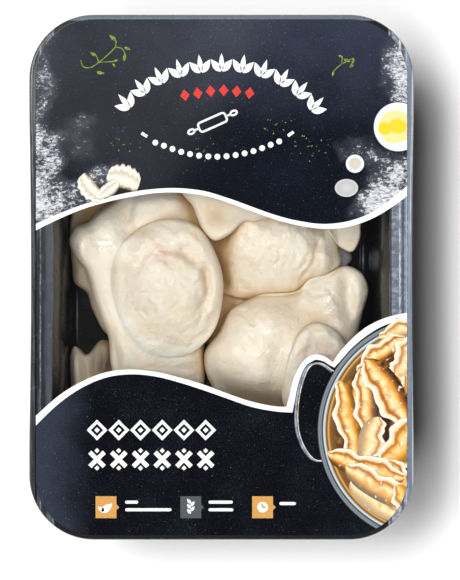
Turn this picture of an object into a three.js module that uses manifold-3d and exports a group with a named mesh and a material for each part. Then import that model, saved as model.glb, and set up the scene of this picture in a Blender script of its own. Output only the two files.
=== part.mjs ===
// A shelf pack of boiled pierogi: a deep black ready-meal tray, a flat lidding film on its
// flange, and the dumplings that can be seen lying inside. Millimetres, +Z up, +Y is the
// head end of the pack. The origin is the middle of the tray's flat base.
import * as THREE from "three";
import { mergeVertices } from "three/addons/utils/BufferGeometryUtils.js";
import Module from "manifold-3d";

// Tray, a standard 187 x 137 x 45 ready-meal size
const trayWidth = 137;
const trayLength = 187;
const trayHeight = 45;
const sideWaist = 0.6; // how far the tight film draws the long sides in at their middle
const waistReach = 58;
const cornerRadius = 23;
const wall = 0.8; // thickness of the thermoformed sheet
const flange = 8; // from the lip to the mouth
const draft = THREE.MathUtils.degToRad(3);
const stepDepth = 3.6; // the stacking step sits this far below the flange
const stepWidth = 1;
const stepSlope = 0.8;
const footRadius = 3.6; // between wall and base
const lipDrop = 3; // the flange's rim is turned down
const lipRound = 1.2;
const mouthEase = 0.5;
const tightestCorner = 8;
const cornerSteps = 6;
const sideSteps = 3;
const quarterTurn = [0, Math.PI / 4, Math.PI / 2];

// Film, sealed on the flange just inside the lip
const filmInset = 1.8;
const filmThickness = 0.35;
const touchGap = 0.3; // between pieces that touch

// Mesh of a dumpling
const spokes = 36;
const topRings = [0.18, 0.36, 0.52, 0.66, 0.78, 0.88, 0.95, 0.985];
const bellyRings = [0.45, 0.75, 0.93];
const outlineSamples = 960;
const directions = 180;

// How dough settles on what lies below it
const belly = 14; // how far the underside sags where nothing holds it
const domeShoulder = [0.6, 0.6, 0];
const softness = 1.4; // how gently the top bends over what holds it up
const thinEdge = 1.1; // a thinner edge than this runs out flat
const easing = 2.2; // the bend starts from nothing at the edge
const reliefFade = 6; // folds run out towards the edge
const pileCell = 1;
const drapeReach = 2; // dough stays above what lies within this many cells
const restGap = 0.4;
const cutGap = 0.3;

const shades = {
  tray: { color: 0x0b0c0f, roughness: 0.28, metalness: 0 },
  film: { color: 0x1b1e28, roughness: 0.2, metalness: 0 },
  dough: { color: 0xeee2c6, roughness: 0.35, metalness: 0 },
};

// Each dumpling: its outline by a few corner points, the level of its sealed edge at the
// middle and the slope of that level along X and Y, the height of the filled mound and how
// full it is, and its folds. A fold runs from one point to another and has a width and a
// height, below zero for a crease. The edge's half thickness is a least value, a greatest
// value and the direction in which it is greatest. Some also say, in the same way, how
// gently their mound falls off at the shoulder, and how softly they lie on others.
const dumplings = [
  {
    name: "dumpling_left_floor",
    middle: [-38, -3],
    corners: [
      [-56.5, 4], [-55.6, -2], [-51, -6], [-49, -12], [-43, -22], [-34, -23.5],
      [-23, -16], [-19.5, -1], [-25, 16], [-34, 29], [-44, 35], [-53.5, 32.5], [-57, 22],
    ],
    level: 9, slope: [0, 0.04], mound: 6, full: 2.6,
    edge: [2.6, 2.6, 0],
    folds: [[-53, 2, -46, 0, 3, 1.5], [-46, -8, -40, -14, 3, 1]],
  },
  {
    name: "dumpling_front_left_floor",
    middle: [-44.5, -43],
    corners: [
      [-56.8, -28.5], [-55.3, -26], [-51, -29.2], [-45.5, -23.8], [-41, -25], [-35, -32],
      [-32.5, -46], [-38, -57.5], [-49.5, -59], [-55.5, -50], [-56.9, -38],
    ],
    level: 11, slope: [0, 0], mound: 5, full: 2.6,
    edge: [2.4, 2.4, 0],
    folds: [
      [-51, -28, -49.5, -44, 2.2, -3.2],
      [-54.5, -30, -53.5, -45, 2.5, 2.4],
      [-46, -26.6, -41, -38, 2.5, 0.8],
      [-38, -34, -38, -52, 5, -2.4],
    ],
  },
  {
    name: "dumpling_middle_floor",
    middle: [8, -12],
    corners: [
      [-12, -8.5], [-6, 2.5], [7, 5.5], [20, -1], [27, -12], [23, -25.5], [7, -29], [-8, -23.5],
    ],
    level: 8, slope: [0, 0], mound: 6, full: 2.4,
    edge: [3, 3, 0],
    folds: [],
  },
  {
    name: "dumpling_right_floor",
    middle: [37, -1],
    corners: [
      [49.5, 7.5], [47, 3], [47, -9], [42.5, -20], [34, -21.5], [29.5, -8], [28, 6],
      [30, 15], [36, 19.5], [43.5, 16],
    ],
    level: 8, slope: [0, 0], mound: 4, full: 2.4,
    edge: [2.6, 2.6, 0],
    folds: [],
  },
  {
    name: "dumpling_left_under",
    middle: [-27, -5],
    corners: [
      [-41, 28], [-30, 34], [-15, 34.5], [-5.5, 26], [-3.5, 8], [-5, -12], [-6.5, -27],
      [-6.8, -40], [-13, -48], [-26.5, -49.5], [-37, -44], [-41, -33], [-42, -22.5],
      [-45.3, -14], [-48.5, -4], [-50.5, 2.5], [-54.5, 8], [-56.6, 13.5], [-54.3, 19],
      [-49.5, 20.6], [-46, 24.5],
    ],
    level: 18, slope: [-0.1, -0.02], mound: 9, full: 3.2,
    edge: [3, 3, 0],
    folds: [
      [-36.5, 34, -35, 18, 4, -2.2],
      [-52, 15.5, -51, 10.5, 5, 3],
      [-43, 22, -40, 10, 5, 1],
      [-30, 27, -18, 29, 5, 2.6],
      [-20, 8, -20, -16, 13, -3.2],
      [-36, -3, -30, -24, 5, -1.4],
      [-42, -24, -40, -34, 3.4, -2.4],
      [-38, -47, -10, -47, 6.5, -5],
    ],
  },
  {
    name: "dumpling_back_right",
    middle: [19, 13],
    corners: [
      [-1, -5.5], [11, -8.7], [21.5, -8.7], [32.5, -5.5], [41, 0], [44.8, 5.5], [43.6, 10.5],
      [42, 19], [37, 27], [25, 34], [10.5, 36], [0, 30], [-7, 16], [-6.5, 3],
    ],
    level: 15.5, slope: [0.06, 0], mound: 14, full: 2.6, shoulder: [0.7, 0.7, 0],
    edge: [2.4, 2.4, 0],
    folds: [
      [-3, 22, -2, -2, 6, -6],
      [2, 34, 40, 28, 8, -6],
      [34.5, 18, 34, 9, 2.6, -0.9],
      [38.5, 6.5, 38.6, 3, 3, 1.3],
    ],
  },
  {
    name: "dumpling_back_corner",
    middle: [44, 31],
    corners: [
      [51.8, 20], [51.5, 14.5], [48.6, 9.5], [44.6, 10.8], [41, 14.4], [37.6, 20], [33, 28],
      [30, 36], [31, 44], [40, 48.5], [50.5, 46.5], [56.5, 37.5], [55, 27],
    ],
    level: 22, slope: [0, 0.1], mound: 6, full: 2.2, shoulder: [0.6, 2.2, 3.3], lie: 3.4,
    edge: [0.4, 2, -0.4],
    folds: [],
  },
  {
    name: "dumpling_front_right",
    middle: [22, -27],
    corners: [
      [3, -12.3], [-1, -20], [-6, -27], [-6.4, -33], [-3.5, -41], [1.5, -49], [12, -55],
      [28.5, -55], [42, -45.5], [48.5, -30], [52.3, -14], [54.6, -4.5], [52, 1.6], [46.4, 4.2],
      [38, 1], [32.5, -0.5], [27.5, -5], [15, -6.2], [8.5, -9],
    ],
    level: 19, slope: [-0.03, 0.06], mound: 14, full: 2.2,
    edge: [1, 2.4, -1.9],
    folds: [
      [-1, -30, 12, -34, 9, 1.5],
      [14, -10, 20, -18, 5, 1.2],
      [47, -1, 46.5, -12, 3, -2.6],
      [51, -3, 50, -8, 3, 1],
      [44, -10, 34, -18, 8, -2.6],
      [17, -48, 21, -26, 3.5, -1.8],
      [28, -12, 24, -20, 5, -1.2],
      [-6, -49, 28, -54, 9.5, -13],
    ],
  },
  {
    name: "dumpling_front_top",
    middle: [36, -38],
    corners: [
      [34.5, -16.3], [41, -18.6], [45.5, -23.3], [48.5, -32], [47, -44], [39, -53],
      [28.5, -54.5], [22.5, -46], [23, -35], [25.2, -26.5], [29, -19.1],
    ],
    level: 29, slope: [-0.06, -0.02], mound: 6, full: 5, shoulder: [0.8, 1.4, 2.4],
    lie: 3.4,
    edge: [0.4, 2.2, 1.3],
    folds: [
      [34, -25.5, 38.5, -27.5, 4.2, -1.6],
      [36, -34, 37, -44, 7, -2.4],
      [27.6, -27, 31, -20.6, 2.4, 0.9],
      [31, -20.6, 38, -19.6, 2.4, 0.9],
      [38, -19.6, 44, -25, 2.4, 0.8],
    ],
  },
  {
    name: "dumpling_left_top",
    middle: [-20, -5],
    corners: [
      [-20.5, 21.5], [-8.5, 18.5], [-1, 6], [0.7, -5], [-3, -20], [-13, -28.7],
      [-26, -28.5], [-36, -18], [-40.5, 2], [-33, 16],
    ],
    level: 27, slope: [0.03, 0.02], mound: 9, full: 2.6,
    shoulder: [0.85, 2.2, -1.95], lie: 3.4,
    edge: [0.4, 2.2, 0.75],
    folds: [
      [-34, 8, -24, 17.5, 3.4, 0.8],
      [-24, 2, -18, -14, 8, 0.6],
      [-20, 9.2, -13.5, 8.2, 1.8, -1],
      [-13.6, 9.6, -12.4, 10.4, 2.4, -1.6],
      [-13.5, 8.2, -6.2, 1.4, 1.8, -1.2],
      [-9.8, 6.6, -8.6, 7.4, 1.5, -0.9],
      [-6.2, 1.4, -5.4, -6.6, 1.8, -1.8],
      [-5.4, -6.6, -7.6, -10, 1.8, -1.1],
      [-8.4, 1.6, -10, -8.4, 2.2, 0.6],
    ],
  },
  {
    name: "dumpling_back_top",
    middle: [3, 31],
    corners: [
      [-14, 30], [-10.6, 26], [-8.8, 21.5], [-6.8, 17.3], [-2.5, 13.4], [3, 15.6], [8, 20],
      [13, 20.3],
      [21, 24], [23, 33], [14, 45.5], [-2.5, 51], [-16, 45.5], [-17.5, 37],
    ],
    level: 32, slope: [0, 0.2], mound: 4.5, full: 2.2,
    edge: [1.2, 1.6, 1.6],
    folds: [[-3, 27, -2, 19, 3, -1]],
  },
];

function solid(name, geometry, shade) {
  const merged = mergeVertices(geometry, 1e-4);
  merged.computeVertexNormals();
  const mesh = new THREE.Mesh(merged, new THREE.MeshStandardMaterial(shade));
  mesh.name = name;
  return mesh;
}

function geometryOf(points, faces) {
  const geometry = new THREE.BufferGeometry();
  geometry.setAttribute("position", new THREE.Float32BufferAttribute(points.flat(), 3));
  geometry.setIndex(faces.flat());
  return geometry;
}

// One rounded rectangle, counter-clockwise, with its long sides drawn in a little.
function roundedRing(inset, z) {
  const halfWidth = trayWidth / 2 - inset;
  const halfLength = trayLength / 2 - inset;
  const radius = Math.max(cornerRadius - inset, tightestCorner);
  const arcs = [[1, 1], [-1, 1], [-1, -1], [1, -1]].map(([signX, signY], corner) =>
    Array.from({ length: cornerSteps + 1 }, (_, i) => {
      const angle = (corner + i / cornerSteps) * (Math.PI / 2);
      const x = signX * (halfWidth - radius) + radius * Math.cos(angle);
      return [x, signY * (halfLength - radius) + radius * Math.sin(angle)];
    }),
  );
  const ring = [];
  arcs.forEach((arc, corner) => {
    const from = arc[cornerSteps];
    const to = arcs[(corner + 1) % 4][0];
    ring.push(...arc);
    for (let i = 1; i < sideSteps; i++) {
      const t = i / sideSteps;
      ring.push([from[0] + (to[0] - from[0]) * t, from[1] + (to[1] - from[1]) * t]);
    }
  });
  return ring.map(([x, y]) => {
    const waist = sideWaist * Math.max(0, 1 - (y / waistReach) ** 2);
    return [x * (1 - (2 * waist) / trayWidth), y, z];
  });
}

// Joins rings of equal length from the first to the last and closes both ends with a fan.
// The rings run counter-clockwise seen from above, and the first is the underside.
function skin(rings, firstMiddle, lastMiddle) {
  const count = rings[0].length;
  const points = rings.flat();
  const first = points.push(firstMiddle) - 1;
  const last = points.push(lastMiddle) - 1;
  const faces = [];
  for (let i = 0; i < count; i++) {
    const next = (i + 1) % count;
    faces.push([first, next, i]);
    for (let r = 0; r + 1 < rings.length; r++) {
      const low = r * count;
      const high = low + count;
      faces.push([low + i, low + next, high + next], [low + i, high + next, high + i]);
    }
    const end = (rings.length - 1) * count;
    faces.push([last, end + i, end + next]);
  }
  return geometryOf(points, faces);
}

// The tray's sheet, followed from under the base, up the outside, over the lip and down
// the inside to the floor. Each station is an inset from the outline and a height.
function makeTray() {
  const under = trayHeight - wall;
  const stepTop = trayHeight - stepDepth;
  const stepLow = stepTop - stepSlope;
  const stepEdge = flange + stepWidth;
  const wallFoot = stepEdge + (stepLow - wall - footRadius) * Math.tan(draft);
  const foot = (radius) =>
    quarterTurn.map((angle) => [
      wallFoot + footRadius - radius * Math.cos(angle),
      wall + footRadius - radius * Math.sin(angle),
    ]);
  const lip = quarterTurn.map((angle) => [
    lipRound * (1 - Math.cos(angle)),
    trayHeight - lipRound * (1 - Math.sin(angle)),
  ]);
  const stations = [
    ...foot(footRadius + wall).reverse(),
    [stepEdge - wall, stepLow - wall],
    [flange - wall, stepTop - wall],
    [flange - wall, under],
    [wall, under],
    [wall, trayHeight - lipDrop],
    [0, trayHeight - lipDrop],
    ...lip,
    [flange - mouthEase, trayHeight],
    [flange, trayHeight - mouthEase],
    [flange, stepTop],
    [stepEdge, stepLow],
    ...foot(footRadius),
  ];
  const rings = stations.map(([inset, z]) => roundedRing(inset, z));
  return solid("tray", skin(rings, [0, 0, 0], [0, 0, wall]), shades.tray);
}

function makeFilm() {
  const low = trayHeight + touchGap;
  const high = low + filmThickness;
  const rings = [roundedRing(filmInset, low), roundedRing(filmInset, high)];
  return solid("film", skin(rings, [0, 0, low], [0, 0, high]), shades.film);
}

// The outline's distance from the dumpling's middle, in evenly spaced directions.
function reachTable({ middle, corners }) {
  const closed = corners.map(([x, y]) => new THREE.Vector3(x - middle[0], y - middle[1], 0));
  const curve = new THREE.CatmullRomCurve3(closed, true, "centripetal");
  const samples = curve.getPoints(outlineSamples);
  return Array.from({ length: directions }, (_, i) => {
    const angle = (i / directions) * 2 * Math.PI;
    const towards = new THREE.Vector3(Math.cos(angle), Math.sin(angle), 0);
    const facing = samples.map((p) => p.dot(towards) / p.length());
    return samples[facing.indexOf(Math.max(...facing))].length();
  });
}

function reachAt(table, angle) {
  const turns = (angle / (2 * Math.PI) + 1) % 1;
  const place = turns * directions;
  const from = Math.floor(place) % directions;
  const to = (from + 1) % directions;
  return table[from] + (table[to] - table[from]) * (place - Math.floor(place));
}

function distanceToFold(x, y, [x1, y1, x2, y2]) {
  const alongX = x2 - x1;
  const alongY = y2 - y1;
  const t = ((x - x1) * alongX + (y - y1) * alongY) / (alongX ** 2 + alongY ** 2);
  const nearest = THREE.MathUtils.clamp(t, 0, 1);
  return Math.hypot(x - x1 - nearest * alongX, y - y1 - nearest * alongY);
}

// A size that grows in one direction, by a share, and stays at its least elsewhere.
function turning([least, greatest, direction], angle, share) {
  const facing = (1 + Math.cos(angle - direction)) / 2;
  return least + (greatest - least) * (facing * share) ** 2;
}

// The greater of two heights, with a gentle bend where they meet.
function softMax(a, b, soft) {
  return (a + b + Math.hypot(a - b, soft)) / 2 - soft / 4;
}

// The dough's upper and lower height at a place, once it has settled on what lies below.
function doughAt(dumpling, table, pile, x, y) {
  const { middle, level, slope, mound, full, edge, folds } = dumpling;
  const { shoulder = domeShoulder, lie = softness } = dumpling;
  const dx = x - middle[0];
  const dy = y - middle[1];
  const angle = Math.atan2(dy, dx);
  const reach = reachAt(table, angle);
  const share = Math.min(Math.hypot(dx, dy) / reach, 1);
  const rim = turning(edge, angle, share);
  const fromEdge = (1 - share) * reach;
  const inward = Math.min(fromEdge / Math.max(rim, thinEdge), 1);
  const round = Math.sqrt(1 - (1 - inward) ** 2);
  const dome = (1 - share ** full) ** turning(shoulder, angle, 1);
  const seat = level + slope[0] * dx + slope[1] * dy;
  const relief = folds.reduce((sum, fold) => {
    const near = distanceToFold(x, y, fold) / fold[4];
    return sum + fold[5] * Math.exp(-near * near);
  }, 0);
  const fade = Math.min(round, (1 - share) * reliefFade);
  const thick = rim * round;
  const low = Math.max(seat - thick - belly * dome, pile.highest(x, y) + restGap);
  const ease = 1 - Math.exp(-fromEdge / easing);
  const draped = softMax(seat + thick + mound * dome, low + 2 * thick, lie * ease);
  const top = Math.max(draped + relief * fade, low + 2 * thick);
  return { low, top, inside: share < 1 };
}

// The height of everything laid in the tray so far, on a grid of places.
function makePile() {
  const columns = Math.ceil(trayWidth / pileCell);
  const rows = Math.ceil(trayLength / pileCell);
  const heights = new Float32Array(columns * rows).fill(wall);
  const near = [];
  for (let i = -drapeReach; i <= drapeReach; i++) {
    for (let j = -drapeReach; j <= drapeReach; j++) {
      if (Math.hypot(i, j) <= drapeReach) near.push([i, j]);
    }
  }
  const highest = (x, y) => {
    const column = Math.round(x / pileCell + columns / 2);
    const row = Math.round(y / pileCell + rows / 2);
    return Math.max(...near.map(([i, j]) => heights[(row + j) * columns + column + i]));
  };
  const add = (doughHere) => {
    const raised = heights.map((height, cell) => {
      const x = ((cell % columns) - columns / 2) * pileCell;
      const y = (Math.floor(cell / columns) - rows / 2) * pileCell;
      const { top, inside } = doughHere(x, y);
      return inside ? Math.max(height, top) : height;
    });
    heights.set(raised);
  };
  return { highest, add };
}

// One closed body of dough, grown all round by a margin.
function doughSkin(dumpling, table, doughHere, margin) {
  const [middleX, middleY] = dumpling.middle;
  const growth = { low: -margin, top: margin };
  const ring = (share, side) =>
    Array.from({ length: spokes }, (_, i) => {
      const angle = (i / spokes) * 2 * Math.PI;
      const reach = reachAt(table, angle) * share;
      const x = middleX + reach * Math.cos(angle);
      const y = middleY + reach * Math.sin(angle);
      const outX = x + margin * share * Math.cos(angle);
      const outY = y + margin * share * Math.sin(angle);
      return [outX, outY, doughHere(x, y)[side] + (share < 1 ? growth[side] : 0)];
    });
  const rings = [
    ...bellyRings.map((share) => ring(share, "low")),
    ring(1, "low"),
    ...topRings.map((share) => ring(share, "top")).reverse(),
  ];
  const { low, top } = doughHere(middleX, middleY);
  const first = [middleX, middleY, low - margin];
  const last = [middleX, middleY, top + margin];
  return skin(rings, first, last);
}

function toSolid(geometry) {
  const merged = mergeVertices(geometry, 1e-4);
  const vertProperties = merged.attributes.position.array;
  const triVerts = new Uint32Array(merged.index.array);
  return new wasm.Manifold(new wasm.Mesh({ numProp: 3, vertProperties, triVerts }));
}

function toGeometry(body) {
  const { vertProperties, triVerts } = body.getMesh();
  const geometry = new THREE.BufferGeometry();
  geometry.setAttribute("position", new THREE.BufferAttribute(vertProperties, 3));
  geometry.setIndex(new THREE.BufferAttribute(triVerts, 1));
  return geometry;
}

// Lays the dumplings in the tray one by one. Each is pressed to the shape of those below
// it, and what it still shares with them is cut away with a clear gap.
function layDumplings() {
  const pile = makePile();
  const laid = [];
  return dumplings.map((dumpling) => {
    const table = reachTable(dumpling);
    const doughHere = (x, y) => doughAt(dumpling, table, pile, x, y);
    const whole = toSolid(doughSkin(dumpling, table, doughHere, 0));
    const cut = laid.reduce((body, below) => body.subtract(below), whole);
    const largest = cut.decompose().sort((a, b) => b.volume() - a.volume())[0];
    laid.push(toSolid(doughSkin(dumpling, table, doughHere, cutGap)));
    pile.add(doughHere);
    return solid(dumpling.name, toGeometry(largest), shades.dough);
  });
}

const wasm = await Module();
wasm.setup();

const part = new THREE.Group();
part.add(makeTray(), makeFilm(), ...layDumplings());

export default part;
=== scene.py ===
import math

import bpy
import numpy as np
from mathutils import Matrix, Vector
from mathutils.geometry import tessellate_polygon


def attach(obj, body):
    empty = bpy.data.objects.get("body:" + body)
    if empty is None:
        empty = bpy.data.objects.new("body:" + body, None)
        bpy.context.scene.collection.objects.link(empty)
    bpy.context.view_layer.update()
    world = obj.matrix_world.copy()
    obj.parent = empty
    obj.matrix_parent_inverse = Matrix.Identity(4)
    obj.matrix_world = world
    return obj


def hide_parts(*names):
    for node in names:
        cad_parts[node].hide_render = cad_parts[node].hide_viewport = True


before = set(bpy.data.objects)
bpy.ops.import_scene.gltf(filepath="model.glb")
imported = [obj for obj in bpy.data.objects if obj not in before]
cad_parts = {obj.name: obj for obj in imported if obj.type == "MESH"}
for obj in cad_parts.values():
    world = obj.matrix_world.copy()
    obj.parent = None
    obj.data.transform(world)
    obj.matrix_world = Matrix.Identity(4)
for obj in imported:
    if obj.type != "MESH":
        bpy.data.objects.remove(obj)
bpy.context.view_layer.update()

mm = 0.001  # sizes are in millimetres from here on, and meshes in metres
scene = bpy.context.scene


class Wire:  # a socket that can stand in a sum
    def __init__(self, graph, socket):
        self.graph = graph
        self.socket = socket

    def __add__(self, other):
        return self.graph.maths("ADD", self, other)

    def __radd__(self, other):
        return self.graph.maths("ADD", other, self)

    def __sub__(self, other):
        return self.graph.maths("SUBTRACT", self, other)

    def __rsub__(self, other):
        return self.graph.maths("SUBTRACT", other, self)

    def __mul__(self, other):
        return self.graph.maths("MULTIPLY", self, other)

    def __rmul__(self, other):
        return self.graph.maths("MULTIPLY", other, self)

    def __truediv__(self, other):
        return self.graph.maths("DIVIDE", self, other)

    def __pow__(self, other):
        return self.graph.maths("POWER", self, other)


class Graph:  # a node tree, of a material, the world or Geometry Nodes
    def __init__(self, tree):
        self.tree = tree
        tree.nodes.clear()

    def node(self, kind, settings=None, inputs=None, output=0):
        made = self.tree.nodes.new(kind)
        for name, value in (settings or {}).items():
            if name == "stops":
                self.setStops(made.color_ramp, value)
            else:
                setattr(made, name, value)
        for key, value in (inputs or {}).items():
            if isinstance(value, Wire):
                self.tree.links.new(value.socket, made.inputs[key])
            else:
                made.inputs[key].default_value = value
        return Wire(self, made.outputs[output]) if len(made.outputs) else None

    def setStops(self, ramp, stops):
        while len(ramp.elements) < len(stops):
            ramp.elements.new(1.0)
        for element, (position, colour) in zip(ramp.elements, stops):
            element.position = position
            element.color = colour

    def outputsOf(self, kind, inputs=None):
        first = self.node(kind, {}, inputs)
        return {o.name: Wire(self, o) for o in first.socket.node.outputs if o.name}

    def maths(self, operation, *values):
        return self.node("ShaderNodeMath", {"operation": operation}, dict(enumerate(values)))

    def fade(self, value, low, high):  # 0 at low, 1 at high, smooth between
        settings = {"interpolation_type": "SMOOTHSTEP"}
        return self.node("ShaderNodeMapRange", settings, {0: value, 1: low, 2: high})

    def between(self, factor, first, second):  # two colours
        settings = {"data_type": "RGBA"}
        return self.node("ShaderNodeMix", settings, {0: factor, 6: first, 7: second}, 2)

    def noise(self, place, size, detail=3.0, roughness=0.5, stretch=None):
        if stretch:
            place = self.node("ShaderNodeMapping", {}, {"Vector": place, "Scale": stretch})
        values = {"Vector": place, "Scale": 1 / (size * mm)}
        values.update({"Detail": detail, "Roughness": roughness})
        return self.node("ShaderNodeTexNoise", {}, values)

    def place(self):
        return self.node("ShaderNodeTexCoord", {}, {}, 3)

    def axes(self, place):  # x, y and z in millimetres
        split = self.outputsOf("ShaderNodeSeparateXYZ", {0: place})
        return [split[axis] * (1 / mm) for axis in "XYZ"]

    def spot(self, x, y, middle, radii):  # 1 in the middle of an oval, 0 at its edge
        across = ((x - middle[0]) / radii[0]) ** 2.0
        along = ((y - middle[1]) / radii[1]) ** 2.0
        return 1.0 - self.fade(across + along, 0.0, 1.0)

    def attribute(self, name):
        return self.node("ShaderNodeAttribute", {"attribute_name": name}, {}, 2)

    def bump(self, height, distance, normal=None):
        values = {"Height": height, "Distance": distance * mm}
        if normal:
            values["Normal"] = normal
        return self.node("ShaderNodeBump", {}, values)

    def surface(self, values):
        shader = self.node("ShaderNodeBsdfPrincipled", {}, values)
        self.node("ShaderNodeOutputMaterial", {}, {"Surface": shader})


def newMaterial(name):
    material = bpy.data.materials.new(name)
    material.use_nodes = True
    return material, Graph(material.node_tree)


def shade(red, green, blue):  # a colour as it looks on screen, made linear
    def linear(value):
        value /= 255
        return value / 12.92 if value <= 0.04045 else ((value + 0.055) / 1.055) ** 2.4

    return (linear(red), linear(green), linear(blue), 1.0)


def throughPoints(points, steps=8, closed=False):  # a smooth line through them
    points = np.asarray(points, float)
    if closed:
        run = np.vstack([points[-1:], points, points[:2]])
    else:
        run = np.vstack([2 * points[0] - points[1], points, 2 * points[-1] - points[-2]])
    spans = np.linalg.norm(np.diff(run, axis=0), axis=1) ** 0.5
    knots = np.concatenate([[0], np.cumsum(spans)])
    line = []
    for i in range(len(run) - 3):
        a, b, c, d = run[i : i + 4]
        k0, k1, k2, k3 = knots[i : i + 4]
        t = np.linspace(k1, k2, steps, endpoint=False)[:, None]
        ab = ((k1 - t) * a + (t - k0) * b) / (k1 - k0)
        bc = ((k2 - t) * b + (t - k1) * c) / (k2 - k1)
        cd = ((k3 - t) * c + (t - k2) * d) / (k3 - k2)
        abc = ((k2 - t) * ab + (t - k0) * bc) / (k2 - k0)
        bcd = ((k3 - t) * bc + (t - k1) * cd) / (k3 - k1)
        line.append(((k2 - t) * abc + (t - k1) * bcd) / (k2 - k1))
    if not closed:
        line.append(points[-1:])
    return np.vstack(line)


def addObject(name, mesh):
    made = bpy.data.objects.new(name, mesh)
    scene.collection.objects.link(made)
    lit["pack"].objects.link(made)
    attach(made, "root")
    return made


def meshOf(name, points, faces, edges=()):
    mesh = bpy.data.meshes.new(name)
    mesh.from_pydata((np.asarray(points, float) * mm).tolist(), edges, faces)
    return mesh


def addPiece(name, points, faces, material, slot, smooth=False, attributes=None):
    mesh = meshOf(name, points, faces)
    mesh.polygons.foreach_set("use_smooth", [smooth] * len(mesh.polygons))
    for key, values in (attributes or {}).items():
        mesh.attributes.new(key, "FLOAT", "POINT").data.foreach_set("value", values)
    mesh.materials.append(material)
    return addObject(name, mesh)


def roundedRect(halfWidth, halfLength, radius, cornerSteps=22, sideSteps=20):
    turns = np.linspace(0, math.pi / 2, cornerSteps + 1)
    arcs = []
    for corner, (signX, signY) in enumerate([(1, 1), (-1, 1), (-1, -1), (1, -1)]):
        angle = turns + corner * math.pi / 2
        x = signX * (halfWidth - radius) + radius * np.cos(angle)
        y = signY * (halfLength - radius) + radius * np.sin(angle)
        arcs.append(np.stack([x, y], 1))
    t = np.linspace(0, 1, sideSteps + 1)[1:-1, None]
    ring = []
    for arc, after in zip(arcs, arcs[1:] + arcs[:1]):
        ring += [arc, arc[-1] + (after[0] - arc[-1]) * t]
    return np.vstack(ring)


def slabOf(outline, low, high):  # a plate with this outline, counter-clockwise
    count = len(outline)
    flat = [Vector((x, y, 0)) for x, y in outline]
    faces = []
    for a, b, c in tessellate_polygon([flat]):
        if (flat[b] - flat[a]).cross(flat[c] - flat[a]).z < 0:
            b, c = c, b
        faces += [(a, b, c), (a + count, c + count, b + count)]
    for i in range(count):
        j = (i + 1) % count
        faces.append((j, i, i + count, j + count))
    return [(x, y, z) for z in (high, low) for x, y in outline], faces


def joined(shapes):
    points = []
    faces = []
    for more, moreFaces in shapes:
        start = len(points)
        points += list(more)
        faces += [tuple(start + i for i in face) for face in moreFaces]
    return points, faces


view = {
    "height": 595.3,  # of the lens above the floor
    "filmDistance": 550,
    "frameHeight": 206.1,  # what the picture takes in at the film
    "shift": (0.0147, -0.0221),
}
cameraData = bpy.data.cameras.new("camera")
cameraData.sensor_fit = "VERTICAL"
cameraData.sensor_height = 36.0
cameraData.lens = 36.0 * view["filmDistance"] / view["frameHeight"]
cameraData.shift_x, cameraData.shift_y = view["shift"]
camera = bpy.data.objects.new("camera", cameraData)
camera.location = (0, 0, view["height"] * mm)
scene.collection.objects.link(camera)
scene.camera = camera

studio = {
    "exposure": 0.0,
    "sky": (1.0, 0.98, 0.95, 1.0),
    "zenith": 0.04,
    "horizon": 0.18,
    "suns": {  # how each part of the soft light slants, its spread, power and what it lights
        "floor_head": [(-0.38, 0.38), 24, 0.95, "floor"],
        "floor_upper": [(-0.54, 0.28), 20, 1.17, "floor"],
        "floor_lower": [(-0.52, 0.02), 20, 1.17, "floor"],
        "floor_foot": [(-0.38, -0.4), 24, 1.04, "floor"],
        "pack_soft": [(-0.04, -0.12), 80, 2.95, "pack"],
        "pack_side": [(-0.5, 0.14), 30, 1.1, "pack"],
    },
    "floorSide": 6000,
    "floor": shade(251, 251, 251),
    "floorSpecks": shade(248, 248, 248),
    # seen only as gloss: where each stands and points, its sides, turn, power and on what
    "glints": {
        "left_glint": [(-420, 240, 560), (0, 0, 30), (260, 260), 0, 2.6, "pack"],
        "right_glint": [(430, 60, 460), (0, 0, 30), (60, 300), 0, 1.5, "pack"],
        "dough_glint": [(-200, 170, 800), (0, 0, 30), (200, 200), 0, 2.0, "dough"],
        "film_glare": [(-76.7, 174.9, 595.3), (-76.7, 174.9, 0), (200, 180), 59.5, 0.13, "pack"],
    },
}
scene.view_settings.view_transform = "Standard"
scene.view_settings.exposure = studio["exposure"]
world = bpy.data.worlds.new("studio")
world.use_nodes = True
graph = Graph(world.node_tree)
rise = graph.outputsOf("ShaderNodeSeparateXYZ", {0: graph.place()})["Z"]
glow = studio["horizon"] + (studio["zenith"] - studio["horizon"]) * graph.fade(rise, 0.05, 0.5)
glow = graph.node("ShaderNodeBackground", {}, {0: studio["sky"], 1: glow})
graph.node("ShaderNodeOutputWorld", {}, {"Surface": glow})
scene.world = world

lit = {name: bpy.data.collections.new("lit_" + name) for name in ("floor", "pack", "dough")}


def addLamp(name, kind, power, towards, turn, onto):
    light = bpy.data.lights.new(name, kind)
    light.energy = power
    lamp = bpy.data.objects.new(name, light)
    lamp.rotation_euler = Vector(towards).to_track_quat("-Z", "Y").to_euler()
    lamp.rotation_euler.rotate_axis("Z", math.radians(turn))
    lamp.light_linking.receiver_collection = lit[onto]
    scene.collection.objects.link(lamp)
    return lamp, light


for name, (slant, spread, power, onto) in studio["suns"].items():
    lamp, light = addLamp(name, "SUN", power, (-slant[0], -slant[1], -1.0), 0, onto)
    light.angle = math.radians(spread)
    lamp.visible_glossy = False
for name, (stand, target, sides, turn, power, onto) in studio["glints"].items():
    towards = Vector(target) - Vector(stand)
    lamp, light = addLamp(name, "AREA", power, towards, turn, onto)
    light.shape = "RECTANGLE"
    light.size, light.size_y = sides[0] * mm, sides[1] * mm
    lamp.location = Vector(stand) * mm
    lamp.visible_diffuse = False

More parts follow.
